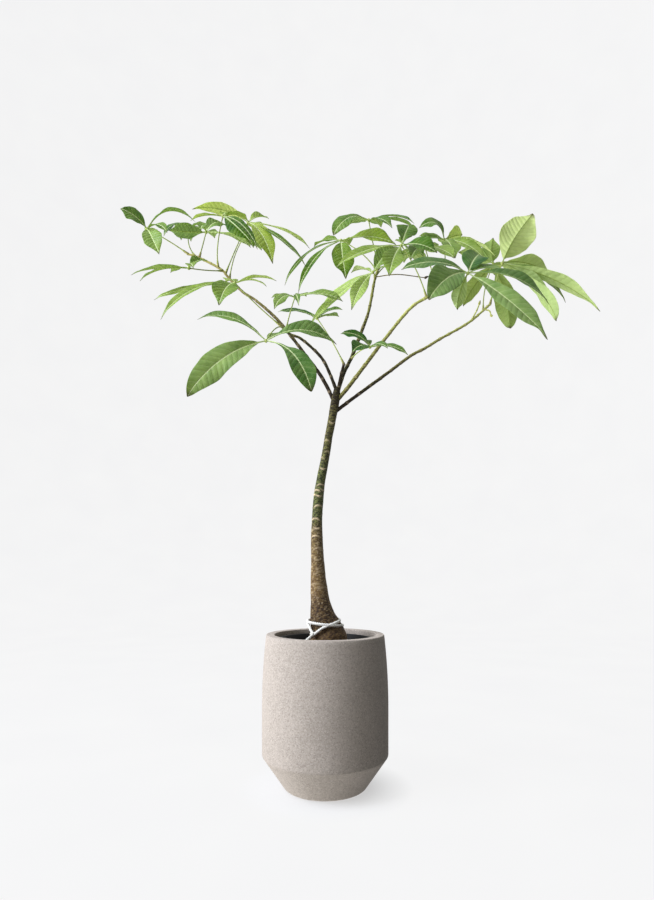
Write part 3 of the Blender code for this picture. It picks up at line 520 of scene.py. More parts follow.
# %% The stem's relief
rough = ease(height, 470, 400)
around = np.stack([30 * np.cos(theta) + 0 * height, 30 * np.sin(theta) + 0 * height,
                   height + 0 * theta], -1)
lumps = 2.4 * (noise(around, 26, 5) - 0.5) + 1.0 * (noise(around, 11, 6) - 0.5)
fissures = -1.6 * ease(np.abs(noise(around * (1, 1, 0.4), 6, 7) - 0.5), 0.12, 0.0)
relief_mm = lumps * (0.35 + 0.65 * rough) + fissures * rough + 0.5 * scar * (1 - rough)
rings = tube_rings(stem[:, :3], stem[:, 3:4] + relief_mm, STEM_SIDES, (0, -1, 0))
stem_skin = skin(rings, bark=bark_look)
print(f"relief {relief_mm.min():.1f} to {relief_mm.max():.1f} mm")

# %% [markdown]
# ## Branches
#
# Five branches rise from the fork, and a sixth was cut back to a stub. Two young shoots grow near the
# end of the lowest branch on the right, and one leaf stalk has lost its leaflets. Each is a thin tube
# along its own smoothed line. A twig is not an even rod: it swells a little at every joint, where a leaf
# sat, and the joints crowd together towards its tip. The radius follows the sum of those swellings.

# %% Where the branches run
BRANCHES = {
    "right_lower": {
        "path": [
            (24, 2, 893), (60, 5, 921), (107, 10, 957), (157, 20, 996), (207, 30, 1036),
            (245, 36, 1058), (282, 40, 1082), (345, 50, 1120), (379, 55, 1147), (410, 60, 1176),
        ],
        "radii": (4.3, 2.7),
    },
    "right_upper": {
        "path": [
            (27, -1, 918), (55, -5, 950), (82, -10, 984), (131, -20, 1046), (174, -30, 1098),
            (204, -35, 1129), (236, -40, 1147), (265, -46, 1160), (291, -50, 1175),
        ],
        "radii": (5.0, 3.0),
    },
    "centre": {
        "path": [
            (28, 0, 935), (44, 4, 985), (64, 10, 1027), (89, 20, 1095), (104, 28, 1138),
            (112, 35, 1175), (119, 40, 1215), (127, 45, 1248), (133, 50, 1261),
        ],
        "radii": (4.8, 2.8),
    },
    "left_inner": {
        "path": [
            (28, -2, 940), (8, -7, 988), (-8, -12, 1016), (-34, -20, 1040), (-59, -28, 1057),
            (-82, -34, 1064), (-102, -40, 1080),
        ],
        "radii": (4.2, 2.7),
    },
    "left_outer": {
        "path": [
            (24, 1, 908), (12, 4, 938), (-12, 8, 983), (-53, 14, 1040), (-85, 18, 1083),
            (-122, 22, 1128), (-170, 26, 1171), (-200, 28, 1191), (-237, 32, 1230),
            (-252, 34, 1248), (-282, 36, 1266), (-314, 38, 1282), (-336, 40, 1290),
        ],
        "radii": (4.6, 2.3),
    },
    "young_shoot_left": {
        "path": [(362, 52, 1134), (372, 44, 1152), (378, 40, 1168)],
        "radii": (1.9, 1.4),
    },
    "young_shoot_right": {
        "path": [(396, 58, 1162), (405, 48, 1154), (407, 40, 1139)],
        "radii": (1.9, 1.4),
    },
    "bare_stalk": {
        "path": [(124, 44, 1236), (176, 32, 1236), (242, 20, 1222)],
        "radii": (1.2, 1.0),
    },
    "cut_stub": {
        "path": [(32, -4, 950), (38, -12, 978), (44, -15, 1001)],
        "radii": (4.0, 3.2),
    },
}
BARK_AGE = {  # how green and how light the bark is at the fork and at the tip
    "right_lower": ((0.2, 1.0), (-0.3, 1.15)),
    "right_upper": ((0.6, 0.95), (0.35, 1.05)),
    "centre": ((0.35, 0.8), (-0.25, 0.6)),
    "left_inner": ((0.3, 0.7), (-0.2, 0.35)),
    "left_outer": ((0.15, 0.7), (-0.4, 1.0)),
    "young_shoot_left": ((0.9, 1.0), (0.9, 1.0)),
    "young_shoot_right": ((0.9, 1.0), (0.9, 1.0)),
    "bare_stalk": ((0.5, 0.3), (0.6, 0.2)),
    "cut_stub": ((0.25, 0.2), (-0.2, -0.2)),
}


TWIG_SIDES = 18
JOINT_STEP = 26


def branch_skin(name, branch):
    """A twig: its radius shrinks evenly and swells by a fifth, as a bell curve, at every joint. Its bark
    is painted lighter and greener on top and darker underneath, as painted light and shade."""
    path, reach = smooth_path(branch["path"], 2.0)
    share = reach / reach[-1]
    thick, thin = branch["radii"]
    radius = thick + (thin - thick) * share[:, None]
    sideways = np.cross(path[-1] - path[0], (0, 1, 0))
    joints = reach[-1] * (1 - np.linspace(1, 0, max(3, round(reach[-1] / JOINT_STEP))) ** 1.35)
    swell = np.exp(-(((reach[:, None] - joints) / 2.6) ** 2)).sum(1)
    rings = tube_rings(path, radius, TWIG_SIDES, sideways)
    bumps = (0.2 * thick * (noise(rings, 7, 8) - 0.5)
             + (0.14 + 0.2 * share[:, None]) * thin * swell[:, None])
    rings = tube_rings(path, radius + bumps, TWIG_SIDES, sideways)
    (green_low, green_high), (light_low, light_high) = BARK_AGE[name]
    # Painted light and shade: where the twig faces up, its bark is painted lighter and greener.
    painted_top_light = unit(rings - path[:, None])[..., 2]
    bark_look = np.stack([(0.45 * swell * noise(path, 13, 4))[:, None] + 0 * painted_top_light,
                    (green_low + (green_high - green_low) * share)[:, None] + 0.15 * painted_top_light,
                    (light_low + (light_high - light_low) * share)[:, None] + 0.4 * painted_top_light], -1)
    return skin(rings, bark=bark_look)


branch_skins = [branch_skin(name, branch) for name, branch in BRANCHES.items()]
print(len(branch_skins), "branches")

# %% [markdown]
# ## Leaf stalks, where they grow and how they bend
#
# Each leaf of a money tree is a hand of leaflets on a long stalk. The table says where on a branch the
# leaf sits, the point that pulls its stalk's curve, and the hub where its leaflets meet. A leaflet is
# seven numbers: the three of its tip's offset from the hub, its width, its arch against its length, its
# face, which is the angle that its upper side turns from the sky to the front, and how far along it is
# widest.

# %% Every leaf of the tree
LEAVES = {
    "leaf_left_far": {
        "seat": ("left_outer", 1.0), "bend": (-384, 40, 1324), "hub": (-437, 40, 1352),
        "leaflets": [
            (-56, -30, 32, 46, 0.08, 62, 0.55), (118, 12, 26, 34, 0.26, 22, 0.55),
            (62, -44, -34, 28, 0.15, 45, 0.55), (44, -50, -89, 46, 0.06, 66, 0.5),
            (-8, 80, 26, 32, 0.08, 0, 0.55),
        ],
    },
    "leaf_left_high": {
        "seat": ("left_outer", 0.965), "bend": (-352, 72, 1336), "hub": (-341, 84, 1380),
        "leaflets": [
            (-62, -24, -34, 30, 0.22, 40, 0.55), (-12, -48, -58, 34, 0.14, 30, 0.55),
            (14, -54, -64, 26, 0.06, 40, 0.55), (40, 34, 18, 30, 0.16, 20, 0.55),
            (6, 82, 36, 32, 0.06, 0, 0.55), (-52, 52, 20, 30, 0.1, 0, 0.55),
        ],
    },
    "leaf_left_shoot": {
        "seat": ("left_outer", 0.945), "bend": (-298, 28, 1304), "hub": (-288, 20, 1332),
        "leaflets": [
            (44, 34, 36, 44, 0.2, 58, 0.55), (4, -80, -40, 34, 0.12, 42, 0.55),
            (113, -22, -48, 28, 0.07, 46, 0.55), (6, 80, 32, 30, 0.08, 0, 0.55),
            (-83, -34, -14, 40, 0.0, -30, 0.55),
        ],
    },
    "leaf_left_low": {
        "seat": ("left_outer", 0.82), "bend": (-280, -10, 1223), "hub": (-311, -60, 1204),
        "leaflets": [
            (-128, -20, -24, 28, 0.06, 14, 0.55), (-96, -60, -58, 26, 0.09, 10, 0.55),
            (-54, 42, 12, 26, 0.08, 14, 0.55), (30, 62, 50, 32, 0.08, 60, 0.55),
            (24, -60, -30, 24, 0.12, 42, 0.55),
        ],
    },
    "leaf_crown_left": {
        "seat": ("left_outer", 0.8), "bend": (-216, 50, 1322), "hub": (-192, 60, 1380),
        "leaflets": [
            (-137, -20, 22, 36, 0.14, -14, 0.5), (67, -50, -130, 44, 0.12, 64, 0.55),
            (158, -40, -86, 24, 0.07, 34, 0.55), (50, 34, 30, 36, 0.12, 46, 0.55),
            (150, -84, -152, 26, 0.06, 22, 0.55), (24, 100, 36, 38, 0.05, 0, 0.55),
        ],
    },
    "leaf_crown_front": {
        "seat": ("left_outer", 0.845), "bend": (-262, 5, 1292), "hub": (-240, -20, 1347),
        "leaflets": [
            (71, -42, -84, 42, 0.05, 76, 0.5), (-76, -10, -16, 26, 0.08, 38, 0.55),
            (-2, 78, 46, 28, 0.08, 0, 0.55), (52, 58, 24, 32, 0.1, 20, 0.55),
            (88, -50, -105, 20, 0.1, 46, 0.55),
        ],
    },
    "leaf_mid_left": {
        "seat": ("left_inner", 1.0), "bend": (-152, -60, 1114), "hub": (-203, -80, 1160),
        "leaflets": [
            (-189, 10, -31, 36, 0.045, 44, 0.55), (-151, -70, -111, 26, 0.11, 40, 0.55),
            (-24, -70, -81, 54, 0.12, 76, 0.5), (92, 40, 26, 24, 0.1, 16, 0.55),
            (76, -32, -22, 22, 0.12, 18, 0.55), (-36, 86, 46, 32, 0.06, 0, 0.55),
        ],
    },
    "leaf_inner_high": {
        "seat": ("left_inner", 0.93), "bend": (-82, -48, 1106), "hub": (-69, -60, 1138),
        "leaflets": [
            (-42, -70, -58, 30, 0.12, 52, 0.55), (-58, 40, 18, 24, 0.08, 18, 0.55),
            (111, -20, -18, 38, 0.1, 46, 0.55), (12, -70, -50, 14, 0.12, 50, 0.55),
            (24, 72, 36, 26, 0.06, 0, 0.55),
        ],
    },
    "leaf_inner_back": {
        "seat": ("cut_stub", 1.0), "bend": (16, 6, 1068), "hub": (-20, 34, 1130),
        "leaflets": [
            (-99, 20, 26, 30, 0.08, 42, 0.55), (63, -22, 12, 28, 0.12, 42, 0.55),
            (10, -50, -18, 16, 0.1, 50, 0.55), (-12, 84, 40, 30, 0.06, 0, 0.55),
            (56, 58, 30, 28, 0.06, 0, 0.55),
        ],
    },
    "leaf_front_left": {
        "seat": ("left_inner", 0.965), "bend": (-110, -96, 1062), "hub": (-126, -150, 1003),
        "leaflets": [
            (-154, -70, -140, 62, 0.1, 82, 0.55), (-160, 50, 70, 34, 0.13, 42, 0.55),
            (100, -70, -130, 48, 0.14, 60, 0.7), (154, 20, 1, 48, 0.15, 52, 0.55),
            (40, 80, 50, 30, 0.06, 0, 0.55),
        ],
    },
    "leaf_centre_low": {
        "seat": ("centre", 0.9), "bend": (116, 14, 1240), "hub": (113, -6, 1222),
        "leaflets": [
            (-126, -20, -97, 26, 0.07, 40, 0.55), (-154, -72, -160, 26, 0.05, 34, 0.55),
            (-54, -60, -116, 34, 0.06, 72, 0.55), (-50, 56, 28, 28, 0.1, 15, 0.55),
            (65, 36, 82, 50, 0.06, 70, 0.55), (37, -34, -7, 24, 0.12, 48, 0.55),
        ],
    },
    "leaf_top_left": {
        "seat": ("centre", 0.965), "bend": (92, 62, 1312), "hub": (39, 66, 1338),
        "leaflets": [
            (-141, -44, -134, 22, 0.12, 28, 0.55), (-106, -74, -167, 22, 0.1, 30, 0.55),
            (-70, 46, 10, 44, 0.1, 44, 0.55), (134, -52, -38, 52, 0.08, 54, 0.55),
            (11, -52, -122, 54, 0.05, 76, 0.5), (26, 90, 40, 36, 0.05, 0, 0.55),
        ],
    },
    "leaf_top_centre": {
        "seat": ("centre", 1.0), "bend": (120, 68, 1322), "hub": (107, 44, 1376),
        "leaflets": [
            (-89, -34, -57, 44, 0.2, 54, 0.64), (123, 20, -12, 26, 0.1, 20, 0.55),
            (107, -46, -34, 24, 0.1, 34, 0.55), (52, -60, -54, 28, 0.1, 46, 0.55),
            (-52, 78, 32, 34, 0.06, 0, 0.55), (40, 90, 36, 36, 0.06, 0, 0.55),
        ],
    },
    "leaf_centre_right": {
        "seat": ("right_upper", 0.83), "bend": (212, -44, 1216), "hub": (177, -32, 1271),
        "leaflets": [
            (26, 46, 76, 54, 0.08, 72, 0.62), (-155, -34, -67, 34, 0.08, 48, 0.55),
            (-34, -52, -97, 48, 0.07, 70, 0.55), (76, -44, -40, 46, 0.1, 58, 0.5),
            (30, 66, 62, 36, 0.06, 0, 0.55),
        ],
    },
    "leaf_top_right": {
        "seat": ("right_upper", 0.96), "bend": (296, 44, 1262), "hub": (304, 98, 1358),
        "leaflets": [
            (-68, -14, 22, 42, 0.34, 55, 0.55), (-60, 36, 30, 28, 0.08, 12, 0.55),
            (54, 34, 32, 44, 0.02, -40, 0.6), (124, -40, -67, 36, 0.1, 10, 0.55),
            (90, -62, -88, 42, 0.08, 52, 0.55), (15, -62, -80, 46, 0.1, 52, 0.55),
            (-80, -42, -38, 34, 0.1, 46, 0.55), (16, 92, 42, 38, 0.05, 0, 0.55),
        ],
    },
    "leaf_front_right": {
        "seat": ("right_upper", 1.0), "bend": (302, -98, 1184), "hub": (306, -140, 1152),
        "leaflets": [
            (-147, -12, 3, 44, 0.12, 54, 0.55), (-94, -52, -81, 66, 0.12, 76, 0.55),
            (39, 50, 68, 56, 0.08, 62, 0.55), (180, 6, -62, 44, 0.11, 46, 0.55),
            (143, -84, -175, 52, 0.05, 62, 0.55), (-26, -10, -85, 34, 0.04, -50, 0.55),
            (96, 48, 24, 40, 0.1, 36, 0.55),
        ],
    },
    "leaf_right_far": {
        "seat": ("right_lower", 1.0), "bend": (424, 62, 1232), "hub": (440, 60, 1278),
        "leaflets": [
            (91, 40, 147, 88, 0.04, -92, 0.58), (133, 34, -8, 44, 0.12, -24, 0.55),
            (222, -60, -146, 40, 0.06, -16, 0.55), (172, 22, -88, 40, 0.1, 52, 0.55),
            (115, -62, -172, 44, 0.1, -20, 0.66), (109, -22, -113, 34, 0.1, -30, 0.55),
        ],
    },
    "leaf_right_back": {
        "seat": ("right_lower", 0.95), "bend": (404, 104, 1240), "hub": (440, 134, 1315),
        "leaflets": [
            (3, 14, 76, 50, 0.06, -66, 0.55), (32, -36, -188, 64, 0.06, -84, 0.55),
            (-84, 40, 53, 44, 0.08, -40, 0.55), (34, 108, 26, 42, 0.06, 0, 0.55),
            (104, 68, 0, 42, 0.08, 0, 0.55), (-82, 0, -113, 44, 0.04, -50, 0.55),
        ],
    },
    "leaf_centre_small": {
        "seat": ("centre", 0.27), "bend": (84, -30, 1032), "hub": (102, -60, 1024),
        "leaflets": [
            (-68, 6, 34, 36, 0.14, 48, 0.55), (-44, -60, -34, 38, 0.1, 62, 0.55),
            (85, -30, -29, 24, 0.12, 44, 0.55), (-8, 36, 30, 22, 0.08, 12, 0.55),
            (36, -52, -22, 24, 0.12, 50, 0.55),
        ],
    },
    "leaf_mid_right": {
        "seat": ("right_upper", 0.9), "bend": (258, 16, 1236), "hub": (248, 60, 1318),
        "leaflets": [
            (-64, -40, -46, 38, 0.08, 34, 0.55), (-44, -60, -62, 38, 0.1, 48, 0.55),
            (60, -66, -62, 46, 0.08, 54, 0.55), (40, 50, 14, 36, 0.06, -20, 0.55),
            (40, 86, 36, 40, 0.06, 0, 0.55),
        ],
    },
    "leaf_centre_back": {
        "seat": ("centre", 0.935), "bend": (176, 120, 1326), "hub": (220, 160, 1365),
        "leaflets": [
            (-31, 30, 44, 34, 0.08, 0, 0.55), (52, 40, 44, 36, 0.06, 0, 0.55),
            (76, 10, 6, 36, 0.08, 0, 0.55), (36, -34, -34, 30, 0.1, 30, 0.55),
            (4, 112, 26, 40, 0.05, 0, 0.55), (60, 90, 10, 38, 0.06, 0, 0.55),
        ],
    },
    "leaf_left_back": {
        "seat": ("left_outer", 0.77), "bend": (-236, 100, 1320), "hub": (-214, 130, 1380),
        "leaflets": [
            (-40, 30, 22, 30, 0.08, 0, 0.55), (5, 96, 32, 34, 0.05, 0, 0.55),
            (42, 70, 7, 34, 0.06, 0, 0.55), (30, -20, -36, 28, 0.1, 20, 0.55),
        ],
    },
}
print(len(LEAVES), "leaves,", sum(len(leaf["leaflets"]) for leaf in LEAVES.values()), "leaflets")

# %% Buds and leaf bases on the branches
STUB_LENGTH = 11


def leaf_start(leaf):
    """Where the leaf grows: the point at its share of the branch's corners joined by straight lines, and
    the direction from there to the point that bends its stalk."""
    name, share = leaf["seat"]
    path = np.asarray(BRANCHES[name]["path"], float)
    steps = np.concatenate([[0], np.cumsum(np.linalg.norm(np.diff(path, axis=0), axis=1))])
    seat = np.array([np.interp(share * steps[-1], steps, column) for column in path.T])
    return seat, unit(np.asarray(leaf["bend"], float) - seat)


def bud_skin(start, ahead, length, radii, bark_look):
    """A short tapering shoot: a tube whose radius runs smoothly through the given ones."""
    share = np.linspace(0, 1, 9)
    path = start + ahead * (share * length)[:, None]
    radius = np.interp(share, np.linspace(0, 1, len(radii)), radii)
    return skin(tube_rings(path, radius, 12, np.cross(ahead, (0.3, 1, 0.2))), bark=np.array(bark_look))


small_skins = []
for name, branch in BRANCHES.items():
    if name != "cut_stub":
        path = np.asarray(branch["path"], float)
        rise = unit(unit(path[-1] - path[-2]) + (0, 0, 0.6))
        bark_look = (0, 0.1, 0.0) if name == "bare_stalk" else (0, 0.8, 0.8)
        small_skins.append(bud_skin(path[-1] - 2 * rise, rise, 11, (2.4, 3.0, 2.6, 1.6, 0.3), bark_look))
for leaf in LEAVES.values():
    seat, leave = leaf_start(leaf)
    small_skins.append(bud_skin(seat, leave, STUB_LENGTH + 1.5, (3.3, 3.1, 2.7, 2.6, 2.2),
                                (0.1, 0.75, 0.6)))
make_piece("trunk_bark", [stem_skin, *branch_skins, *small_skins], [bark], "trunk")

# %% [markdown]
# ## Tie string
#
# A white cotton string holds the foot of the stem in its pot: one turn high, one turn low, a knot at the
# front left, and an end that goes over the pot's lip. The string is three strands laid round each other,
# so its cross-section is a circle with three lobes, and the lobes turn as they go along.

# %% Cotton string
cotton, tree = new_finish("cotton_string_laid")
place = node(tree, "TexCoord").outputs["Object"]
fibre = node(tree, "TexNoise", {"Vector": place, "Scale": 1000 / 1.2, "Detail": 3.0})
tint = node(tree, "Mix", {0: fibre.outputs["Fac"], 6: paint("#DAD7CC"), 7: paint("#FBFAF6")},
            data_type="RGBA")
relief = node(tree, "Bump", {"Height": fibre.outputs["Fac"], "Strength": 0.5, "Distance": 0.2 * MM})
shader = node(tree, "BsdfPrincipled", {"Base Color": tint.outputs[2], "Roughness": 0.85,
                                       "Sheen Weight": 0.2, "Normal": relief.outputs["Normal"]})
node(tree, "OutputMaterial", {"Surface": shader.outputs["BSDF"]})

# %% The string's two turns, knot and end
STRING_RADIUS, STRING_CLEAR, STRING_SIDES = 3.2, 1.2, 18
STRAND_PITCH = 17  # mm for one full turn of a strand


def string_skin(points):
    """A laid string: at angle θ and distance d along, the radius is 1 + 0.13 cos 3(θ - 2πd / pitch)
    times the string's own."""
    path, reach = smooth_path(points, 1.3)
    theta = np.arange(STRING_SIDES) * 2 * np.pi / STRING_SIDES
    lay = 1 + 0.13 * np.cos(3 * (theta - 2 * np.pi * reach[:, None] / STRAND_PITCH))
    return skin(tube_rings(path, STRING_RADIUS * lay, STRING_SIDES, (0.05, 0.1, 1)))


def beside_stem(theta, level):
    """Points beside the stem: its centre at that height, plus its radius, the string's and a little
    room for the bark's bumps outwards. The angle runs from the front towards +X."""
    x, y, radius = (np.interp(level, stem[:, 2], stem[:, k]) for k in (0, 1, 3))
    outward = np.stack([np.sin(theta), -np.cos(theta), 0 * theta], -1)
    centre = np.stack([x, y, level], -1)
    return centre + outward * (radius + STRING_RADIUS + STRING_CLEAR)[:, None]


theta = np.radians(np.arange(-180, 181, 6.0))
upper = beside_stem(theta, 388 + 0.5 * np.cos(theta) - 4.5 * np.sin(theta))
bearings = [-42, -10, 20, 50, 85, 180, 270, 300, 318]
levels = [365, 381, 388.5, 392.5, 396, 401, 394, 378, 366]
theta = np.radians(np.arange(-42, 319, 6.0))
lower = beside_stem(theta, np.interp(np.degrees(theta), bearings, levels))
knot = lower[0] + (-1.2, -2.4, 0)
end = np.array([(-43.9, -97.6, 356.8), (-45.5, -101.2, 357.2), (-46.9, -104.2, 357.0),
                (-49.0, -109.3, 356.4)])
t = np.linspace(0, 2 * np.pi, 40)
trefoil = np.stack([np.sin(t) + 2 * np.sin(2 * t), np.cos(t) - 2 * np.cos(2 * t), -np.sin(3 * t)], 1)
loops = [upper, lower, np.vstack([knot, end]), knot + 1.5 * trefoil[:, [0, 2, 1]]]
make_piece("tie_string_laid", [string_skin(points) for points in loops], [cotton], "tie_string")

# %% [markdown]
# ## Leaf finish
#
# A leaf blade is waxy and dark above, dull and pale below, and it lets light through, which is why the
# leaves near the lamp glow yellow-green. The midrib and the side veins are pale, and the veins of dark
# leaves are fainter. They could be painted, but every blade has its own size, so each point of the mesh
# carries its distance from the midrib in millimetres and its place between two veins, and the finish
# draws the veins from those.

# %% Waxy blade
blade, tree = new_finish("leaf_blade_waxy")
place = node(tree, "TexCoord").outputs["Object"]
spot = node(tree, "SeparateXYZ",
            {"Vector": node(tree, "Attribute", attribute_name="spot").outputs["Vector"]})
look = node(tree, "SeparateXYZ",
            {"Vector": node(tree, "Attribute", attribute_name="look").outputs["Vector"]})
tone_here, underneath = look.outputs["X"], look.outputs["Y"]
across = node(tree, "Math", {0: spot.outputs["X"]}, operation="ABSOLUTE")
rib_wide = node(tree, "MapRange", {"Value": spot.outputs["Z"], "To Min": 2.9, "To Max": 1.3})
rib = node(tree, "MapRange", {"Value": across.outputs[0], "From Min": 0.5,
                              "From Max": rib_wide.outputs["Result"], "To Min": 1.0, "To Max": 0.0})
near = node(tree, "Math", {0: spot.outputs["Y"], 1: 0.5}, operation="PINGPONG")
vein_strong = node(tree, "MapRange", {"Value": tone_here, "To Min": 0.15, "To Max": 0.45})
vein = node(tree, "MapRange", {"Value": near.outputs[0], "From Min": 0.0, "From Max": 0.1,
                               "To Min": vein_strong.outputs["Result"], "To Max": 0.0})
fade = node(tree, "MapRange", {"Value": across.outputs[0], "From Min": 4.0, "From Max": 32.0,
                               "To Min": 1.0, "To Max": 0.3})
veins = node(tree, "Math", {0: vein.outputs["Result"], 1: fade.outputs["Result"]}, operation="MULTIPLY")
lines = node(tree, "Math", {0: veins.outputs[0], 1: rib.outputs["Result"]}, operation="MAXIMUM")
mottle = node(tree, "TexNoise", {"Vector": place, "Scale": 1000 / 24, "Detail": 4.0})
vary = node(tree, "Math", {0: mottle.outputs["Fac"], 1: 0.6, 2: tone_here}, operation="MULTIPLY_ADD")
tone = node(tree, "Math", {0: vary.outputs[0], 1: 0.3}, operation="SUBTRACT", use_clamp=True)
upper_side = node(tree, "Mix", {0: tone.outputs[0], 6: paint("#2A6420"), 7: paint("#D2E294")},
                  data_type="RGBA")
under_side = node(tree, "Mix", {0: tone.outputs[0], 6: paint("#7FA45C"), 7: paint("#EEF6BC")},
                  data_type="RGBA")
both_sides = node(tree, "Mix", {0: underneath, 6: upper_side.outputs[2], 7: under_side.outputs[2]},
                  data_type="RGBA")
hue = node(tree, "MapRange", {"Value": look.outputs["Z"], "To Min": 0.52, "To Max": 0.485})
strong = node(tree, "MapRange", {"Value": look.outputs["Z"], "To Min": 1.0, "To Max": 1.45})
blade_colour = node(tree, "HueSaturation", {"Hue": hue.outputs["Result"],
                                            "Saturation": strong.outputs["Result"],
                                            "Color": both_sides.outputs[2]})
rib_colour = node(tree, "Mix", {0: underneath, 6: paint("#E6F2B8"), 7: paint("#9DB25E")},
                  data_type="RGBA")
veined = node(tree, "Mix", {0: lines.outputs[0], 6: blade_colour.outputs["Color"],
                            7: rib_colour.outputs[2]}, data_type="RGBA")
dry = node(tree, "MapRange",
           {"Value": spot.outputs["Z"], "From Min": 0.93, "From Max": 0.99, "To Max": 0.9})
tipped = node(tree, "Mix", {0: dry.outputs["Result"], 6: veined.outputs[2], 7: paint("#4C3D24")},
              data_type="RGBA")
wax = node(tree, "MapRange", {"Value": underneath, "To Min": 0.44, "To Max": 0.65})
pillow = node(tree, "MapRange", {"Value": near.outputs[0], "From Max": 0.4},
              interpolation_type="SMOOTHSTEP")
pucker = node(tree, "TexNoise", {"Vector": place, "Scale": 1000 / 16, "Detail": 2.0})
uneven = node(tree, "Math", {0: pucker.outputs["Fac"], 1: 3.0, 2: pillow.outputs["Result"]},
              operation="MULTIPLY_ADD")
quilt = node(tree, "Math", {0: uneven.outputs[0], 1: rib.outputs["Result"]}, operation="SUBTRACT")
relief = node(tree, "Bump", {"Height": quilt.outputs[0], "Strength": 0.5, "Distance": 1.0 * MM})
shader = node(tree, "BsdfPrincipled", {"Base Color": tipped.outputs[2],
                                       "Roughness": wax.outputs["Result"], "Specular IOR Level": 0.3,
                                       "Normal": relief.outputs["Normal"]})
lit_through = node(tree, "Mix", {0: 0.4, 6: tipped.outputs[2], 7: paint("#DDE98A")}, data_type="RGBA")
glow = node(tree, "BsdfTranslucent",
            {"Color": lit_through.outputs[2], "Normal": relief.outputs["Normal"]})
mixed = node(tree, "MixShader", {0: 0.42, 1: shader.outputs["BSDF"], 2: glow.outputs["BSDF"]})
node(tree, "OutputMaterial", {"Surface": mixed.outputs["Shader"]})

# %% Young green skin of the stalks
stalk_green, tree = new_finish("leaf_stalk_smooth")
place = node(tree, "TexCoord").outputs["Object"]
tinge = node(tree, "TexNoise", {"Vector": place, "Scale": 1000 / 14, "Detail": 3.0})
tint = node(tree, "Mix", {0: tinge.outputs["Fac"], 6: paint("#7E9A3F"), 7: paint("#C2C96C")},
            data_type="RGBA")
streak = node(tree, "TexNoise", {"Vector": place, "Scale": 1000 / 2})
relief = node(tree, "Bump", {"Height": streak.outputs["Fac"], "Strength": 0.2, "Distance": 0.2 * MM})
shader = node(tree, "BsdfPrincipled",
              {"Base Color": tint.outputs[2], "Roughness": 0.5, "Normal": relief.outputs["Normal"]})
node(tree, "OutputMaterial", {"Surface": shader.outputs["BSDF"]})

# %% [markdown]
# ## Leaflets
#
# A blade could be one flat card with a picture. Real blades are folded along the midrib, arched under
# their own weight, waved at the edge and thin but solid, and that is what catches the light. So a blade
# is a flat loop of points, carried along its midrib: over the upper side from the left edge to the right
# and back along the underside, with the midrib standing out below.

# %% One leaflet
BLADE_FOLD, BLADE_WAVE, STALK_SHARE = 0.30, 0.06, 0.07
BLADE_REACH = 0.99  # keeps the tips just inside the plain solids
TIP_ROWS = (0.985, 0.996)  # two more rows of points close to the tip
half_columns = np.array([0.0, 0.06, 0.16, 0.3, 0.46, 0.62, 0.78, 0.9, 0.97, 1.0])  # of the half width
columns = np.concatenate([-half_columns[:0:-1], half_columns])


